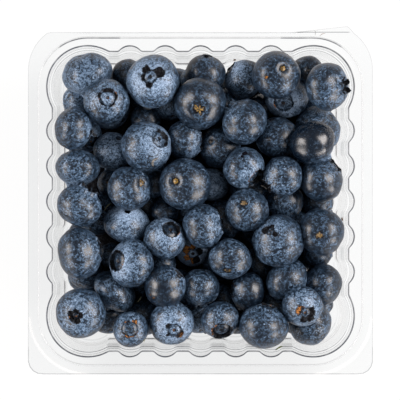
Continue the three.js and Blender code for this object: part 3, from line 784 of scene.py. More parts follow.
LEAST_LIFT = 0.25         # it counts at least this share of their distance as height
YIELD = 1.4               # a hidden berry gives way by this much of a push
HOLD = 0.3                # and the one that shows by this much
HEAP_SEED = 6006
print("the layers start at, mm:", [round(HEIGHT - deep, 1) for deep in BELOW_RIM.values()])


# %% The dice, and what a berry is
class Dice:
    """The same row of random numbers on every run."""

    FACTOR, STEP, COUNT = 1103515245, 12345, 2147483648

    def __init__(self, seed):
        self.seed = seed

    def roll(self):
        self.seed = (self.seed * self.FACTOR + self.STEP) % self.COUNT
        return self.seed / self.COUNT


class Berry:
    """A berry's place, radius and facing. Its ball is the sphere that it pushes others with."""

    def __init__(self, x, y, z, r, flat=1.0, tip=(0.0, 0.0), layer=0, end="plain", bloom=0.3):
        self.plan = (x, y)
        self.x, self.y, self.z, self.r, self.flat = x, y, z, r, flat
        self.tip, self.layer, self.end, self.bloom = tip, layer, end, bloom
        self.ball = r * flat ** (1 / 3)


print("first throw for the heap:", round(Dice(HEAP_SEED).roll(), 4))


# %% Lay the berries out
def lay_out():
    """All berries before they settle: those that show, and two layers below that miss them."""
    berries = [Berry(x, y, HEIGHT - BELOW_RIM[layer], across / 2, flat, (tx, ty), layer, end, bloom)
               for x, y, across, flat, tx, ty, layer, end, bloom in SHOWN]
    shown = list(berries)
    dice = Dice(HEAP_SEED)
    for level, z in enumerate(FILL_HEIGHTS):
        for i in range(-FILL_ROWS, FILL_ROWS + 1):
            for j in range(-FILL_ROWS, FILL_ROWS + 1):
                x = (i + level / 2) * FILL_PITCH + (dice.roll() - 0.5) * FILL_JITTER
                y = (j + level / 2) * FILL_PITCH + (dice.roll() - 0.5) * FILL_JITTER
                r = FILL_RADIUS[0] + (FILL_RADIUS[1] - FILL_RADIUS[0]) * dice.roll()
                room = FILL_REACH - r + FILL_SLACK
                free = all(math.dist((b.x, b.y, b.z), (x, y, z)) > FILL_OVERLAP * (b.ball + r)
                           for b in shown)
                if abs(x) < room and abs(y) < room and free:
                    berries.append(Berry(x, y, z, r))
    return berries


heap = lay_out()
print(len(heap), "berries to settle")

# %% How berries push, and what holds them in
NEVER_ZERO = 1e-6


def push_apart(a, b):
    """One push between two berries. Those that show move only in height."""
    dx, dy, dz = b.x - a.x, b.y - a.y, b.z - a.z
    touch = TOUCH * (a.ball + b.ball)
    if abs(dx) > touch or abs(dy) > touch:
        return
    apart = math.sqrt(dx * dx + dy * dy + dz * dz) + NEVER_ZERO
    if apart >= touch:
        return
    push = 0.5 * (touch - apart) / apart
    if a.layer and b.layer:
        up = 1 if dz > 0 else -1
        if a.layer != b.layer:
            up = 1 if b.layer > a.layer else -1
        lift = LIFT * push * up * max(LEAST_LIFT * apart, abs(dz))
        a.z -= lift
        b.z += lift
    elif a.layer:
        b.x += YIELD * push * dx
        b.y += YIELD * push * dy
        b.z += YIELD * push * dz
        a.z -= HOLD * push * dz
    else:
        a.x, a.y, a.z = a.x - push * dx, a.y - push * dy, a.z - push * dz
        b.x, b.y, b.z = b.x + push * dx, b.y + push * dy, b.z + push * dz


def wall_half(z):
    """Half width of the tray between its lands at height z."""
    depth = HEIGHT - z
    shelf = SHELF_WIDTH if depth > SHELF_DEPTH else 0
    return LAND_HALF[0] - RIM_TAPER - shelf - WALL_TAPER * min(1, max(0, depth / HEIGHT))


def keep_inside(b):
    """Back above the floor, in line with the eye if it shows, and else inside the wall."""
    b.z = max(CLEARANCE + b.ball, min(HIGHEST_CENTRE, b.z))
    if b.layer:
        spread = 1 + (HEIGHT - b.z) / EYE
        b.x, b.y = b.plan[0] * spread, b.plan[1] * spread
        return
    room = min(wall_half(b.z) - GAP, FILL_REACH) - b.r
    b.x = max(-room, min(room, b.x))
    b.y = max(CENTRE_Y - room, min(CENTRE_Y + room, b.y))
    over = abs(b.x) + abs(b.y) + math.sqrt(2) * b.r - FILL_CORNER
    if over > 0:
        b.x -= math.copysign(over / 2, b.x)
        b.y -= math.copysign(over / 2, b.y)


print("half width inside the wall, mm:", round(wall_half(HEIGHT), 1), "at the rim and",
      round(wall_half(0), 1), "at the floor")


# %% Let the heap settle
def settle(berries):
    for _ in range(SETTLE_STEPS):
        for b in berries:
            b.z += RISE * (HEIGHT - BELOW_RIM[b.layer] - b.z) if b.layer else -SINK
        for i, a in enumerate(berries):
            for b in berries[i + 1:]:
                push_apart(a, b)
        for b in berries:
            keep_inside(b)


settle(heap)
shown = [b for b in heap if b.layer]
below = [b for b in heap if not b.layer]
grams = sum(4 / 3 * math.pi * b.r ** 3 * b.flat for b in heap) / 1000
print(len(heap), "berries,", len(below), "of them hidden, about", round(grams), "g")

# %% [markdown]
# ## The shape of one berry
#
# A blueberry is a ball pressed a little flat, with two ends that differ. One end has the small
# round scar of its stem, in a shallow dimple. The other has the crown: five short sepals round a
# sunken disc. Sculpting each would be slow, and a copied one shows at once. So a berry is a stack
# of rings from the middle of the crown to the stem scar, where the first dozen rings climb over
# disc, trough and sepals, and the rest follow the flattened ball. The same rings carry the
# numbers that the skin's material reads: bloom, dark sepal, cork and scar.

# %% Kinds of crown
# wide: the crown's radius as a share of the berry's. disc and depth: the sunken disc's radius and
# how deep it lies, as shares of the crown's radius, and core: how much bloom lies in it.
# sepals: direction and half breadth in degrees, and where each starts and ends, as shares of the
# crown's radius. rise: how high their tips stand. outline: how dark the hollow between them is,
# partly dry tissue and partly painted shade in that hollow.
# cork: direction and half breadth of each stretch where the edge is corky, and crust: how much of
# it spreads over the sepals. eye: how golden the dot in the middle is. ring: bloom on the edge.
WHOLE = [(18, 34, 0.5, 1.05), (92, 34, 0.5, 0.95), (162, 34, 0.5, 1.1), (235, 34, 0.5, 0.95),
         (306, 34, 0.5, 1.0)]
CROWNS = {
    "three lobes": dict(wide=0.42, disc=0.56, depth=0.26, core=0.9, rise=0.06, eye=0.0, ring=0.3,
                        outline=0.8, cork=[],
                        sepals=[(24, 36, 0.54, 1.36), (118, 30, 0.54, 1.05), (264, 27, 0.50, 1.00),
                                (186, 34, 0.56, 0.78)]),
    "ringed": dict(wide=0.40, disc=0.86, depth=0.24, core=1.4, rise=0.06, eye=1.0, ring=0.3,
                   outline=0.2, sepals=[
                       (85, 50, 0.62, 1.05), (18, 30, 0.80, 1.06), (165, 30, 0.82, 1.04),
                       (232, 30, 0.84, 1.03), (302, 30, 0.84, 1.0)],
                   cork=[(40, 22), (185, 12)]),
    "torn": dict(wide=0.42, disc=0.80, depth=0.20, core=0.8, rise=0.06, eye=0.0, ring=0.5,
                 sepals=[(38, 36, 0.58, 1.08), (-20, 16, 0.70, 1.0), (92, 14, 0.74, 0.98)],
                 cork=[]),
    "star": dict(outline=1.0, wide=0.44, disc=0.34, depth=0.36, core=0.0, rise=-0.02, eye=0.4,
                 ring=1.0, cork=[(190, 16)],
                 sepals=[(10, 40, 0.3, 0.72), (80, 38, 0.3, 0.62), (152, 38, 0.3, 0.70),
                         (222, 38, 0.3, 0.62), (292, 40, 0.3, 0.74)]),
    "pit": dict(wide=0.46, disc=0.88, depth=0.42, core=0.06, rise=0.05, eye=0.15, ring=1.0,
                sepals=[(10, 34, 0.8, 1.06), (200, 40, 0.8, 0.98), (90, 24, 0.82, 0.96)],
                cork=[(335, 22)]),
    # its ring of bloom is set high partly as painted light, on a berry in its neighbours' shade
    "bowl": dict(wide=0.47, disc=0.90, depth=0.16, core=0.75, rise=0.03, eye=0.5, ring=2.4,
                 outline=0.3, crust=0.6, sepals=[(350, 20, 0.9, 1.02)], cork=[(205, 44)]),
    "well": dict(crust=1.0, wide=0.54, disc=0.82, depth=0.50, core=0.25, rise=0.10, eye=0.0, ring=0.6,
                 sepals=[(5, 25, 0.7, 1.0), (75, 30, 0.7, 1.05), (140, 25, 0.7, 1.0),
                         (220, 25, 0.7, 1.05), (300, 30, 0.7, 1.0)], cork=[(130, 55)]),
    "split": dict(crust=0.6, wide=0.56, disc=0.84, depth=0.40, core=0.45, rise=0.06, eye=0.0,
                  ring=0.8, outline=0.7, cork=[(178, 50), (122, 12)],
                  sepals=[(20, 36, 0.74, 1.05), (92, 30, 0.80, 0.98), (248, 28, 0.74, 1.12),
                          (310, 36, 0.70, 1.0)]),
    "rusty": dict(crust=1.4, wide=0.62, disc=0.46, depth=0.20, core=0.7, rise=0.05, eye=0.2, ring=0.3,
                  sepals=[(145, 40, 0.50, 1.05), (215, 30, 0.52, 1.0), (292, 44, 0.5, 1.1),
                          (20, 36, 0.5, 1.0), (88, 26, 0.5, 1.0)],
                  cork=[(145, 50), (215, 34), (95, 26), (262, 14)]),
    "cork": dict(wide=0.46, disc=0.50, depth=0.20, core=0.9, rise=0.04, eye=1.0, ring=0.7,
                 crust=0.9, cork=[(152, 52), (95, 20)],
                 sepals=[(8, 50, 0.52, 1.04), (-52, 40, 0.54, 1.16), (258, 32, 0.54, 1.14),
                         (150, 54, 0.64, 1.00)]),
    "arcs": dict(wide=0.52, disc=0.80, depth=0.08, core=0.5, rise=0.02, eye=0.0, ring=0.3,
                 outline=0.0, crust=0.8, cork=[(66, 42), (120, 10), (262, 58), (332, 12)],
                 sepals=[(52, 20, 0.96, 1.12), (100, 14, 0.78, 0.90), (225, 22, 0.70, 0.78),
                         (262, 14, 0.82, 0.96), (304, 20, 0.84, 0.94)]),
    "dashed": dict(wide=0.46, disc=0.62, depth=0.20, core=1.0, rise=0.04, eye=1.0, ring=0.8,
                   outline=0.2, crust=0.3, sepals=[
                       (140, 26, 0.84, 1.0), (215, 12, 0.88, 1.0), (-40, 46, 0.84, 0.94)],
                   cork=[(-42, 48)]),
    "jagged": dict(wide=0.28, disc=0.56, depth=0.40, core=0.35, rise=0.03, eye=0.0, ring=0.9,
                   outline=0.9, cork=[],
                   sepals=[(165, 50, 0.42, 1.1), (62, 30, 0.5, 0.95), (318, 26, 0.4, 1.25)]),
    "shut": dict(wide=0.25, disc=0.50, depth=0.50, core=0.0, rise=0.05, eye=0.0, ring=0.5,
                 sepals=[(20, 44, 0.3, 1.1), (150, 50, 0.3, 1.0), (255, 44, 0.3, 1.2)], cork=[]),
    "folded": dict(outline=0.3, wide=0.36, disc=0.45, depth=0.25, core=0.3, rise=0.03, eye=0.0,
                   ring=2.2, cork=[(330, 24)],
                   sepals=[(20, 40, 0.3, 0.9), (150, 44, 0.3, 0.9), (255, 40, 0.3, 1.0)]),
    "ragged": dict(wide=0.36, disc=0.50, depth=0.25, core=0.1, rise=0.50, eye=0.0, ring=0.5,
                   sepals=WHOLE, cork=[]),
    "spread": dict(wide=0.37, disc=0.56, depth=0.30, core=0.6, rise=0.40, eye=0.0, ring=0.7,
                   cork=[], sepals=[(-36, 30, 0.5, 1.05), (36, 30, 0.5, 1.0), (106, 28, 0.5, 0.95),
                                    (180, 30, 0.5, 0.9), (252, 28, 0.5, 1.0)]),
    "worn": dict(wide=0.42, disc=0.66, depth=0.20, core=0.5, rise=0.14, eye=0.3, ring=1.0,
                 sepals=[(20, 20, 0.6, 1.0), (110, 18, 0.6, 1.0), (200, 20, 0.6, 0.95),
                         (285, 22, 0.6, 1.0)], cork=[(60, 20)]),
}
print(len(CROWNS), "kinds of crown")

# %% Kinds of stem scar
# the scar's radius as a share of the berry's, how golden it is and how torn its edge is
SCARS = {"gold": (0.105, 1.0, 0.10), "burst": (0.14, 1.0, 0.55), "brown": (0.12, 0.75, 0.25),
         "dim": (0.09, 0.35, 0.2), "plain": (0.08, 0.12, 0.2)}
# rings of a stem scar: radius and depth as shares of the scar's radius, bloom as a share of the
# body's, dark edge, gold, and how much of the torn edge shows
SCAR_RINGS = [
    (2.6, 0.10, 1.3, 0, 0, 0), (1.9, 0.30, 1.2, 0, 0, 0), (1.5, 0.45, 0.5, 0.5, 0, 0.5),
    (1.18, 0.62, 0.1, 0.9, 0.05, 1), (1.0, 0.60, 0.1, 0.5, 0.9, 1), (0.75, 0.52, 0.1, 0.0, 1.0, 1),
    (0.4, 0.40, 0.1, 0, 0.9, 0.6)]
SCAR_BED = 0.36           # depth of its middle, as a share of its radius
SCAR_WAVES = (2, 3, 5, 7)
ANY_PHASE = 6.3           # radians: a wave starts anywhere in about a whole turn
print(len(SCARS), "kinds of stem scar")

# %% Sizes of a crown's edge and of the body below it
CROWN_EDGE = 0.07         # the crown's edge is this much wider than its disc, or more
LEAST_EDGE = 0.08
FRAYED = 0.03             # how far that edge strays, as a share
FRAYED_TIPS = 3           # the sepals' height strays this many times as much
EDGE_RISE = 0.02          # height of the edge between sepals, as a share of the crown's radius
PLAIN_OUTLINE = 0.35      # outline of a kind that names none
CROWN_REACH = 1.5         # the body's rings start this many radii of the crown from the axis,
MOST_REACH = 0.9          # but within this share of the berry's own,
SCAR_REACH = 3.0          # and end this many radii of the scar from it
# the bloom round the crown fades to the body's over this angle, in radians, and this steeply
FADE_ANGLE, FADE_POWER = 0.8, 1.6
# each is what a berry with no bloom has, and what its own share of bloom adds
CROWN_BLOOM = (0.20, 0.50)
BODY_BLOOM = (0.03, 0.25)


def bump(angle, middle, half):
    """1 about the middle direction, falling to 0 just past half degrees on both sides."""
    off = np.abs((np.degrees(angle) - middle + 180) % 360 - 180) / half
    return np.clip(1.15 - off ** 2, 0, 1)


def bloom_shares(bloom):
    """How much bloom lies round a berry's crown and on its body."""
    return CROWN_BLOOM[0] + CROWN_BLOOM[1] * abs(bloom), BODY_BLOOM[0] + BODY_BLOOM[1] * bloom


print("bloom of 0.5 gives, at the crown and on the body:", bloom_shares(0.5))


# %% One berry as rings
def berry_rings(b, kind, scar, dice, around, body_rings):
    """Rings of a berry in its own frame, +Z through the crown, each with its four numbers."""
    angle = np.linspace(0, 2 * np.pi, around, endpoint=False)
    one = np.ones(around)
    c = kind["wide"] * b.r
    inner, outer, lobe = kind["disc"] * one, (kind["disc"] + CROWN_EDGE) * one, 0 * one
    for middle, half, start, stop in kind["sepals"]:
        share = bump(angle, middle, half)
        inner = np.minimum(inner, kind["disc"] + (start - kind["disc"]) * share)
        longer = stop - kind["disc"] - CROWN_EDGE
        outer = np.maximum(outer, kind["disc"] + CROWN_EDGE + longer * share)
        lobe = np.maximum(lobe, share)
    cork = sum([bump(angle, middle, half) for middle, half in kind["cork"]], 0 * one).clip(0, 1)
    rough = dice.normal(0, FRAYED, around)
    disc, edge = inner * c, np.maximum(outer, inner + LEAST_EDGE) * c * (1 + rough)
    depth = kind["depth"] * c
    tip = c * (EDGE_RISE + kind["rise"] * lobe * (1 + FRAYED_TIPS * rough))
    rich, body = bloom_shares(b.bloom)
    core, eye, ring = kind["core"] * rich, kind["eye"], kind["ring"]
    outline = kind.get("outline", PLAIN_OUTLINE)
    dark = outline + (1 - outline) * lobe
    wide_cork = cork * kind.get("crust", 0)
    rest = 0.6 * core * (1 - lobe)
    # radius, height over the ball, bloom, sepal, cork, scar. The sepal number on the deepest rings,
    # in the middle of the disc and in the hollow round it, paints them dark: partly dry tissue,
    # partly painted shade in those hollows
    rows = [
        (0.07 * c, -depth + 0.03 * c, 0, 0.6 * (1 - eye), eye, 0),
        (0.12 * c, -depth + 0.05 * c, 0, 0.8, 0.3 * eye, 0),
        (0.22 * c, -depth + 0.13 * c, core, 0.1, 0, 0),
        (np.maximum(0.7 * disc, 0.24 * c), -depth + 0.10 * c, 0.9 * core, 0.1, 0, 0),
        (np.maximum(0.96 * disc, 0.27 * c), -depth + 0.02 * c, 0.6 * core, 0.5 * dark, 0, 0),
        (np.maximum(disc, 0.29 * c) + 0.03 * c, -0.95 * depth, rest, dark, 0.6 * wide_cork, 0),
        (0.45 * disc + 0.55 * edge, -0.5 * depth + 0.3 * tip, rest, dark, wide_cork, 0),
        (edge - 0.07 * c, 0.8 * tip - 0.04 * c, rest, dark, wide_cork, 0),
        (edge, tip, 0.3 * ring, 0.7 * dark, 0.8 * cork, 0),
        (edge + 0.05 * c, 0.7 * tip + 0.015 * c, rich * (0.6 + 0.6 * ring), 0.15 * dark, 0, 0),
        (edge + 0.17 * c, 0.12 * tip + 0.02 * c, rich, 0, 0, 0),
    ]
    s = scar[0] * b.r
    begin = math.asin(min(MOST_REACH, CROWN_REACH * c / b.r))
    end = math.pi - math.asin(SCAR_REACH * s / b.r)
    rings = [(r * one, h + b.flat * np.sqrt(b.r ** 2 - (r * one) ** 2), *rest)
             for r, h, *rest in rows]
    for step in range(body_rings):
        t = begin + (end - begin) * step / (body_rings - 1)
        near = max(0, 1 - (t - begin) / FADE_ANGLE) ** FADE_POWER
        rings.append((b.r * math.sin(t) * one, b.flat * b.r * math.cos(t) * one,
                      body + (rich - body) * near, 0, 0, 0))
    gold, torn = scar[1:]
    torn = 1 + torn * sum(0.5 * np.sin(k * angle + dice.uniform(0, ANY_PHASE)) for k in SCAR_WAVES)
    for r, sink, pale, ringed, gilt, wild in SCAR_RINGS:
        r = r * s * (1 + wild * (torn - 1))
        height = -b.flat * np.sqrt(b.r ** 2 - r ** 2) + sink * s
        rings.append((r * one, height * one, body * pale, ringed * gold, 0, gilt * gold))
    rings = [[np.broadcast_to(part, (around,)) for part in ring] for ring in rings]
    return angle, rings, (-depth + b.flat * b.r, -b.flat * b.r + SCAR_BED * s, eye, gold)


# %% Which way a berry faces, and how lopsided it is
# how often the swells that make a berry lopsided turn over it, and how high they are
LUMPS = [(1.7, 0.016), (2.6, 0.012), (4.3, 0.006)]
NEARLY_ALONG_X = 0.9      # past this share, a berry's axis lies too near X to measure from X


def own_axes(up):
    """A berry's own X and Y across its axis, turned as little as can be from the frame's."""
    side = np.array([1.0, 0, 0])
    if abs(up[0]) >= NEARLY_ALONG_X:
        side = np.array([0, 0, -math.copysign(1, up[0])])
    side = side - up * (side @ up)
    side /= np.linalg.norm(side)
    return np.array([side, np.cross(up, side), up])


print("share of its radius by which a berry strays from its ball: at most",
      round(sum(high for _, high in LUMPS), 3))


# %% One finished berry
def berry_mesh(b, dice, around, body_rings):
    """Corners, faces and numbers of one finished berry, where it lies in the heap."""
    crowned = b.end in CROWNS
    kind = CROWNS[b.end if crowned else "ragged"]
    scar = SCARS["plain" if crowned else b.end]
    angle, rings, (top, bottom, eye, gold) = berry_rings(b, kind, scar, dice, around, body_rings)
    flat = np.array(rings)
    radius, height = flat[:, 0], flat[:, 1]
    points = np.stack([radius * np.cos(angle), radius * np.sin(angle), height], 2).reshape(-1, 3)
    points = np.concatenate([points, [[0, 0, top], [0, 0, bottom]]])
    numbers = flat[:, 2:].transpose(0, 2, 1).reshape(-1, 4)
    numbers = np.concatenate([numbers, [[0, 0.6 * (1 - eye), eye, 0], [0.1, 0, 0, gold]]])
    lumps = np.ones(len(points))
    ways = points / np.linalg.norm(points, axis=1)[:, None]
    for turns, amount in LUMPS:
        lean = dice.normal(0, 1, 3)
        lumps += amount * np.sin(turns * ways @ (lean / np.linalg.norm(lean)) * np.pi
                                 + dice.uniform(0, ANY_PHASE))
    points = points * lumps[:, None]
    rise = math.sqrt(max(0, 1 - b.tip[0] ** 2 - b.tip[1] ** 2))
    up = np.array([b.tip[0], b.tip[1], rise])
    up /= np.linalg.norm(up)
    points = points @ own_axes(up if crowned else -up) + (b.x, b.y, b.z)
    count = len(rings)
    here = np.arange(around)
    after = (here + 1) % around
    faces = [np.stack([k * around + here, (k + 1) * around + here, (k + 1) * around + after,
                       k * around + after], 1) for k in range(count - 1)]
    last = (count - 1) * around
    crown_fan = np.stack([np.full(around, len(points) - 2), here, after, after], 1)
    stem_fan = np.stack([np.full(around, len(points) - 1), last + after, last + here,
                         last + here], 1)
    return points, np.concatenate(faces + [crown_fan, stem_fan]), numbers


# %% Many berries as one mesh
def gather(name, berries, around, body_rings, seed):
    """Many berries as one mesh."""
    dice = np.random.default_rng(seed)
    corners, faces, numbers, start = [], [], [], 0
    for b in berries:
        points, quads, values = berry_mesh(b, dice, around, body_rings)
        corners.append(points)
        faces.append(quads + start)
        numbers.append(values)
        start += len(points)
    mesh = bpy.data.meshes.new(name)
    faces = [tuple(face) if face[2] != face[3] else tuple(face[:3])
             for face in np.concatenate(faces).tolist()]
    mesh.from_pydata((np.concatenate(corners) * MM).tolist(), [], faces)
    for i, word in enumerate(("bloom", "sepal", "cork", "scar")):
        values = np.ascontiguousarray(np.concatenate(numbers)[:, i])
        mesh.attributes.new(word, "FLOAT", "POINT").data.foreach_set("value", values)
    mesh.shade_smooth()
    return mesh


# %% [markdown]
# ## Blueberry skin
#
# The skin itself is nearly black, with a blue cast. What looks blue is the bloom, a thin wax that
# lies in soft patches, is rubbed off in specks and scratches, and dulls the shine where it is
# thick. So one number, how much bloom there is here, drives both colour and roughness: the
# berry's own share, broken up by three sizes of noise. Painting colour and gloss apart would lose
# the link between them, which is what makes the eye read wax on skin.

# %% Colours and noise of the skin
DARK_SKIN = (0.0015, 0.0045, 0.0105, 1)
THIN_BLOOM = (0.044, 0.082, 0.140, 1)
PALE_BLOOM = (0.20, 0.280, 0.400, 1)
THICK_BLOOM = (0.29, 0.400, 0.570, 1)
SEPAL = (0.0045, 0.0045, 0.0055, 1)
SEPAL_GREY = (0.020, 0.021, 0.024, 1)
CORK = (0.17, 0.075, 0.025, 1)
CORK_PALE = (0.42, 0.180, 0.055, 1)
SCAR = (0.19, 0.110, 0.014, 1)
# noise for each job: waves for each metre, detail, roughness and swirl
PATCHES = (190.0, 3.0, 0.55, 0.8)
MOTTLE = (600.0, 4.0, 0.72, 1.5)
SPECKS = (1150.0, 3.0, 0.6, 0.6)
MARKS = (820.0, 2.0, 0.5, 2.5)
VEINS = (610.0, 2.0, 0.5, 1.5)
MIDDLE_NOISE = 0.5        # the value that noise swings about
VEIN_HALF = 0.06          # half breadth of a vein, on the same scale
# the value of its noise at which a mark starts, and the one at which it is full
FLAW, FINE, RUBBED = (0.60, 0.66), (0.36, 0.64), (0.56, 0.62)
CHALK = (0.33, 0.38)      # the other way round: full, and where it ends
# how much each noise sways the cover, and how much of it rubbed specks take away
MOTTLE_SHARE, FINE_SHARE, RUBBED_SHARE = 0.8, 0.85, 0.4
# what chalky dots add to the cover on bare skin, and what bloom adds to that
CHALK_BARE, CHALK_BLOOMED = 0.15, 0.45
GLOSS = 0.27              # roughness of bare skin, and what a film and full bloom add to it
FILM_DULL, BLOOM_DULL = 0.08, 0.26
RELIEF, RELIEF_HEIGHT = 0.11, 0.0003
print("bare skin", DARK_SKIN[:3], "and thick bloom", THICK_BLOOM[:3])


# %% Skin material
def make_skin():
    material, tree = new_material("blueberry_skin")
    place = add_node(tree, "ShaderNodeTexCoord", {}, {}, "Object")

    def attribute(word):
        return add_node(tree, "ShaderNodeAttribute", {"attribute_name": word}, {}, "Fac")

    def noise(scale, detail, rough, swirl):
        return add_node(tree, "ShaderNodeTexNoise", {}, {
            "Vector": place, "Scale": scale, "Detail": detail, "Roughness": rough,
            "Distortion": swirl})

    patches, mottle, speck = noise(*PATCHES), noise(*MOTTLE), noise(*SPECKS)
    # the same noise gives dark flaws where it is high and chalky dots where it is low
    marks = noise(*MARKS)
    flaw = marks.smooth(*FLAW)
    chalk = 1 - marks.smooth(*CHALK)
    # fine dark veins run where another noise crosses its middle
    vein = (noise(*VEINS) - MIDDLE_NOISE).absolute().smooth(0.0, VEIN_HALF)
    bloom = attribute("bloom")
    fine = speck.smooth(*FINE) - 0.5
    cover = bloom + (patches - MIDDLE_NOISE)
    cover = cover + MOTTLE_SHARE * (mottle - MIDDLE_NOISE) + FINE_SHARE * fine
    cover = cover + chalk * (CHALK_BARE + CHALK_BLOOMED * bloom.smooth(-0.10, 0.22))
    cover = (cover * (1.03 - RUBBED_SHARE * speck.smooth(*RUBBED) - flaw)).clamp()
    cover = (cover * (0.5 + 0.5 * vein)).power(1.4)
    # thin, pale and thick bloom each take over from the one before as the cover grows
    colour = blend_colour(tree, (cover * 3.0).clamp(), DARK_SKIN, THIN_BLOOM)
    colour = blend_colour(tree, ((cover - 0.33) * 1.5).clamp(), colour, PALE_BLOOM)
    colour = blend_colour(tree, cover * bloom.smooth(0.40, 1.00) * 0.6, colour, THICK_BLOOM)
    scar = (attribute("scar") * speck.smooth(0.36, 0.60)).clamp()
    colour = blend_colour(tree, scar, colour, SCAR)
    bump = add_node(tree, "ShaderNodeBump", {}, {
        "Height": 0.5 * mottle + 0.5 * speck, "Strength": RELIEF, "Distance": RELIEF_HEIGHT})
    # bare skin is glossy, and bloom dulls it
    skin = add_node(tree, "ShaderNodeBsdfPrincipled", {}, {
        "Base Color": colour, "Normal": bump,
        "Roughness": GLOSS + FILM_DULL * bloom.smooth(-0.15, 0.10) + BLOOM_DULL * cover,
        "Specular IOR Level": 0.38})
    # sepals and cork are dry and matt, and lie over the skin
    sepal = (1.15 * attribute("sepal") - 0.25 * speck.smooth(0.5, 0.7)).clamp()
    cork = 1.45 * attribute("cork") - 0.9 * (1 - mottle.smooth(0.42, 0.54))
    cork = (cork - 0.9 * speck.smooth(0.46, 0.58)).clamp()
    rust = blend_colour(tree, marks.smooth(0.40, 0.56), CORK, CORK_PALE)
    tissue = blend_colour(tree, speck.smooth(0.42, 0.66), SEPAL, SEPAL_GREY)
    dry = add_node(tree, "ShaderNodeBsdfDiffuse", {}, {
        "Color": blend_colour(tree, cork, tissue, rust), "Roughness": 0.5, "Normal": bump})
    set_output(tree, add_node(tree, "ShaderNodeMixShader", {}, {
        0: (sepal + cork).clamp(), 1: skin, 2: dry}))
    return material


blueberry_skin = make_skin()
print(len(blueberry_skin.node_tree.nodes), "nodes in the skin")


# %% Meshes of the berries that show
# corners round a ring, rings of the body, and the seed of what is random
TOP_BERRIES = (72, 20, 3)
OTHER_BERRIES = (50, 18, 4)
PLAIN_BERRY = (30, 12, 5)


def add_piece(name, mesh, material):
    """A finished mesh as a piece that rides on the punnet and stands for the heap."""
    mesh.name = name
    mesh.materials.clear()
    mesh.materials.append(material)
    piece = bpy.data.objects.new(name, mesh)
    bpy.context.scene.collection.objects.link(piece)
    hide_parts("berries")
    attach(piece, "root")
    print(name, len(mesh.polygons), "faces")
    return piece


top_berries = gather("top", [b for b in shown if b.layer == TOP], *TOP_BERRIES)
add_piece("berries_top", top_berries, blueberry_skin)
other_berries = gather("between", [b for b in shown if b.layer < TOP], *OTHER_BERRIES)
add_piece("berries_between", other_berries, blueberry_skin)

# %% [markdown]
# ## The berries below
#
# The lower two layers only show through the clear walls and the floor, and as dark shapes down in
# the gaps. They are all one plain berry, turned and sized at random. That is what Geometry Nodes
# do best: the settled places go in as bare points with a radius each, one berry is put on every
# point with a seeded random turn, and the copies are made real at the end.

# %% One plain berry and the points
TURN_SEED = 7
plain = Berry(0, 0, 0, 1, 0.92, (0, 0), 0, "worn", 0.35)
plain_mesh = gather("plain", [plain], *PLAIN_BERRY)
plain_mesh.materials.append(blueberry_skin)
plain_berry = bpy.data.objects.new("plain_berry", plain_mesh)
bpy.context.scene.collection.objects.link(plain_berry)
points_mesh = bpy.data.meshes.new("places")
points_mesh.from_pydata([(b.x * MM, b.y * MM, b.z * MM) for b in below], [], [])
points_mesh.attributes.new("radius", "FLOAT", "POINT").data.foreach_set(
    "value", [b.r for b in below])
below_heap = bpy.data.objects.new("below", points_mesh)
bpy.context.scene.collection.objects.link(below_heap)
print(len(points_mesh.vertices), "places for a berry of", len(plain_mesh.polygons), "faces")

# %% The tree that puts a berry on every point
tree = bpy.data.node_groups.new("berries_on_points", "GeometryNodeTree")
face = tree.interface
face.new_socket("Geometry", in_out="INPUT", socket_type="NodeSocketGeometry")
berry_in = face.new_socket("Berry", in_out="INPUT", socket_type="NodeSocketObject")
seed_in = face.new_socket("Turn Seed", in_out="INPUT", socket_type="NodeSocketInt")
skin_in = face.new_socket("Skin", in_out="INPUT", socket_type="NodeSocketMaterial")
face.new_socket("Geometry", in_out="OUTPUT", socket_type="NodeSocketGeometry")


def from_input(name):
    return add_node(tree, "NodeGroupInput", {}, {}, name)


radius = add_node(tree, "GeometryNodeInputNamedAttribute", {"data_type": "FLOAT"},
                  {"Name": "radius"})
turn = add_node(tree, "FunctionNodeRandomValue", {"data_type": "FLOAT_VECTOR"},
                {0: (0, 0, 0), 1: (2 * math.pi, math.pi, 2 * math.pi),
                 "Seed": from_input("Turn Seed")})
one_berry = add_node(tree, "GeometryNodeObjectInfo", {}, {"Object": from_input("Berry")},
                     "Geometry")
copies = add_node(tree, "GeometryNodeInstanceOnPoints", {}, {
    "Points": from_input("Geometry"), "Instance": one_berry, "Rotation": turn, "Scale": radius})
real = add_node(tree, "GeometryNodeRealizeInstances", {}, {"Geometry": copies})
dressed = add_node(tree, "GeometryNodeSetMaterial", {}, {"Geometry": real,
                                                        "Material": from_input("Skin")})
add_node(tree, "NodeGroupOutput", {}, {"Geometry": dressed})
print(len(tree.nodes), "nodes in the tree")

# %% Run it and keep a plain mesh
maker = below_heap.modifiers.new("berries", "NODES")
maker.node_group = tree
maker[berry_in.identifier] = plain_berry
maker[seed_in.identifier] = TURN_SEED
maker[skin_in.identifier] = blueberry_skin
below_mesh = bpy.data.meshes.new_from_object(
    below_heap.evaluated_get(bpy.context.evaluated_depsgraph_get()))
for blank in (below_heap, plain_berry):
    bpy.data.objects.remove(blank)
add_piece("berries_below", below_mesh, blueberry_skin)

# %% [markdown]
# ## The dark middle
#
# Deep in a heap hardly any light arrives. A few gaps run so straight down between the settled
# berries that the white floor would shine up through them, which never happens in a full punnet.
# A low rounded block, hidden inside the heap, closes them. It wears the same skin, with its sepal
# number at 1 all over, so it is matt and nearly black: painted shade for the dark deep in the heap.

# %% Core
CORE_HALF, CORE_LOW, CORE_HIGH = 39.4, 6.0, 19.0
CORE_ROUND = 6.0          # the power of its superellipse: 2 is a ball, and more is squarer
CORE_AROUND, CORE_ROWS = 64, 16


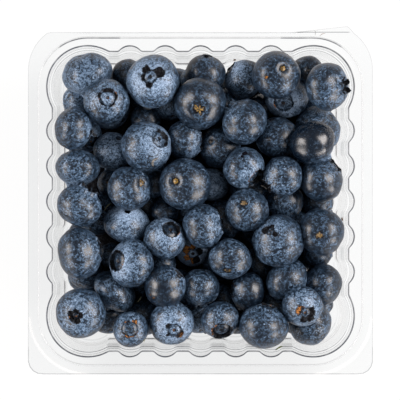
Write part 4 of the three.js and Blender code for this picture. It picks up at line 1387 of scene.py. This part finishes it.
def rounded_block(half, low, high, power, around, rows):
    """A block with round edges, as rings of a superellipse from below to above."""
    angle = np.linspace(0, 2 * np.pi, around, endpoint=False)
    c, s = np.cos(angle), np.sin(angle)
    reach = half * (np.abs(c) ** power + np.abs(s) ** power) ** (-1 / power)
    rings = []
    for t in np.linspace(-90, 90, rows + 2)[1:-1]:
        share = math.cos(math.radians(t)) ** (2 / power)
        rise = math.copysign(abs(math.sin(math.radians(t))) ** (2 / power), t)
        z = (low + high) / 2 + (high - low) / 2 * rise
        rings.append(np.column_stack([reach * share * c, reach * share * s + CENTRE_Y,
                                      np.full(around, z)]))
    points = np.concatenate(rings + [[(0, CENTRE_Y, low), (0, CENTRE_Y, high)]])
    faces = [(i * around + j, i * around + (j + 1) % around, (i + 1) * around + (j + 1) % around,
              (i + 1) * around + j) for i in range(rows - 1) for j in range(around)]
    faces += [(rows * around, (j + 1) % around, j) for j in range(around)]
    last = (rows - 1) * around
    faces += [(rows * around + 1, last + j, last + (j + 1) % around) for j in range(around)]
    mesh = bpy.data.meshes.new("core")
    mesh.from_pydata((points * MM).tolist(), [], faces)
    # sepal at 1 all over paints the block nearly black: painted shade
    mesh.attributes.new("sepal", "FLOAT", "POINT").data.foreach_set("value", np.ones(len(points)))
    mesh.shade_smooth()
    return mesh


core = rounded_block(CORE_HALF, CORE_LOW, CORE_HIGH, CORE_ROUND, CORE_AROUND, CORE_ROWS)
add_piece("berries_core", core, blueberry_skin)

# %% [markdown]
# ## Crumbs
#
# A few bits of stem and dry flower lie among the berries, one berry has a torn flap of skin and
# another two pits, whose shade is painted in as two black slivers, and two fine tear marks are left
# in the flange beside the torn hinge.
# Each is a short sliver: a spine of a few points with a round section that tapers to both ends. To
# find what carries it, a ray goes from the eye through its place in plan and stops at the first
# thing below. A sliver that clings follows that surface, and any other lies level on its highest
# point.

# %% The slivers, in millimetres
OLIVE, STRAW, RUST, GREY, BLACK = 0.0, 0.25, 0.5, 0.75, 1.0
# x, y, length, width, direction in degrees, sideways bend, colour, clings
SLIVERS = [
    (27.2, -51.3, 2.9, 0.55, 30, 0.05, OLIVE, False),
    (11.8, 48.6, 0.8, 0.6, 10, 0.0, RUST, True),
    (49.2, -6.5, 1.2, 0.55, 100, 0.1, RUST, True),
    (-19.6, -48.6, 1.3, 0.4, 40, 0.1, STRAW, False),
    (-32.1, -2.4, 3.6, 0.6, 48, 0.1, STRAW, False),
    (-21.3, -34.3, 2.6, 0.6, 55, -0.1, STRAW, False),
    (-15.6, 13.1, 3.3, 0.95, 62, 0.28, GREY, True),
    (21.9, 4.4, 2.6, 0.5, -30, 0.1, GREY, False),
    (-7.6, -14.0, 0.6, 0.35, 70, 0.0, RUST, True),
    (-16.2, -33.9, 0.8, 0.38, 10, 0.0, RUST, True),
    (-17.4, -32.9, 0.4, 0.3, 80, 0.0, RUST, True),
    (22.8, 42.6, 1.3, 0.9, 30, 0.0, RUST, True),
    # black: painted shade inside a pit
    (15.4, 16.2, 1.7, 1.4, 20, 0.0, BLACK, True),
    (39.8, 58.0, 1.5, 0.16, 92, 0.0, GREY, True),
    (42.3, 57.3, 2.2, 0.16, 25, 0.15, RUST, True),
    # black: painted shade inside a pit
    (14.4, 15.2, 1.1, 0.7, 30, 0.0, BLACK, True),
]
SPINE_STEPS = 9
SLIVER_SIDES = 10
SUNK = 0.3                # share of its width by which a sliver sinks in
TAPER = 2.5               # the higher, the blunter its ends
END_SHARE = 0.04          # square of the ends' share of its width
UNEVEN = (0.8, 1.1)
CRUMB_SEED = 11
print(len(SLIVERS), "slivers")


# %% What carries a sliver
def carrier():
    """All that was made so far, as one tree to cast rays at."""
    corners, faces = [], []
    for thing in bpy.context.scene.objects:
        if thing.type == "MESH" and thing is not floor:
            start = len(corners)
            corners += [vertex.co.copy() for vertex in thing.data.vertices]
            faces += [[start + i for i in face.vertices] for face in thing.data.polygons]
    return BVHTree.FromPolygons(corners, faces)


def height_below(tree, x, y):
    """The place seen at x, y in plan, in millimetres."""
    eye = camera.location
    spot, _, _, _ = tree.ray_cast(eye, Vector((x * MM, y * MM, RIM_Z)) - eye)
    return np.array(spot) / MM


seen_from_above = carrier()
print("top of the heap's middle, mm:", height_below(seen_from_above, 0, 0)[2].round(1))


# %% One sliver
def sliver(tree, dice, x, y, length, width, direction, bend, colour, clings):
    """Corners, faces and colour of one sliver."""
    a = math.radians(direction)
    along, aside = np.array([math.cos(a), math.sin(a)]), np.array([-math.sin(a), math.cos(a)])
    steps = np.linspace(-1, 1, SPINE_STEPS)
    plan = [(x, y) + along * t * length / 2 + aside * bend * length * (1 - t * t) for t in steps]
    spine = np.array([height_below(tree, *place) for place in plan])
    if not clings:
        spine[:, 2] = spine[:, 2].max()
    spine[:, 2] += (0.5 - SUNK) * width
    turn = np.linspace(0, 2 * np.pi, SLIVER_SIDES, endpoint=False)
    corners = []
    for k, t in enumerate(steps):
        ahead = spine[min(k + 1, SPINE_STEPS - 1)] - spine[max(k - 1, 0)]
        ahead /= np.linalg.norm(ahead)
        side = np.cross((0, 0, 1), ahead)
        side /= np.linalg.norm(side)
        thick = math.sqrt(max(END_SHARE, 1 - abs(t) ** TAPER))
        radius = width / 2 * thick * dice.uniform(*UNEVEN)
        corners.append(spine[k] + radius * (np.outer(np.cos(turn), side)
                                            + np.outer(np.sin(turn), np.cross(ahead, side))))
    n = SLIVER_SIDES
    faces = [(k * n + j, k * n + (j + 1) % n, (k + 1) * n + (j + 1) % n, (k + 1) * n + j)
             for k in range(SPINE_STEPS - 1) for j in range(n)]
    faces += [tuple(reversed(range(n))), tuple(range((SPINE_STEPS - 1) * n, SPINE_STEPS * n))]
    return np.concatenate(corners), faces, colour


# %% Make the crumbs
dice = np.random.default_rng(CRUMB_SEED)
corners, faces, tints = [], [], []
for row in SLIVERS:
    points, quads, tint = sliver(seen_from_above, dice, *row)
    faces += [tuple(i + len(corners) for i in face) for face in quads]
    corners += (points * MM).tolist()
    tints += [tint] * len(points)
crumb_mesh = bpy.data.meshes.new("crumbs")
crumb_mesh.from_pydata(corners, [], faces)
crumb_mesh.attributes.new("tint", "FLOAT", "POINT").data.foreach_set("value", tints)
crumb_mesh.shade_smooth()
heights = [z / MM for _, _, z in corners]
print("crumbs lie from", round(min(heights), 1), "to", round(max(heights), 1), "mm above the table")

# %% Colour the crumbs
STEM_COLOURS = [(OLIVE, (0.085, 0.105, 0.020, 1)), (STRAW, (0.23, 0.23, 0.16, 1)),
                (RUST, (0.17, 0.078, 0.024, 1)), (GREY, (0.16, 0.155, 0.15, 1)),
                (BLACK, (0.004, 0.004, 0.006, 1))]
crumb_material, tree = new_material("dry_stem")
tint = add_node(tree, "ShaderNodeAttribute", {"attribute_name": "tint"}, {}, "Fac")
place = add_node(tree, "ShaderNodeTexCoord", {}, {}, "Object")
grain = add_node(tree, "ShaderNodeTexNoise", {}, {"Vector": place, "Scale": 1600.0, "Detail": 2.0})
colour = STEM_COLOURS[0][1]
for low, high in zip(STEM_COLOURS, STEM_COLOURS[1:]):
    share = tint.smooth(low[0] + 0.1, high[0] - 0.1)
    colour = blend_colour(tree, share, colour, high[1])
grain = grain.smooth(0.40, 0.70) * (1 - tint.smooth(0.80, 0.95)) * 0.7
colour = blend_colour(tree, grain, colour, SEPAL_GREY)
set_output(tree, add_node(tree, "ShaderNodeBsdfPrincipled", {}, {
    "Base Color": colour, "Roughness": 0.8, "Specular IOR Level": 0.0}))
add_piece("crumbs", crumb_mesh, crumb_material)
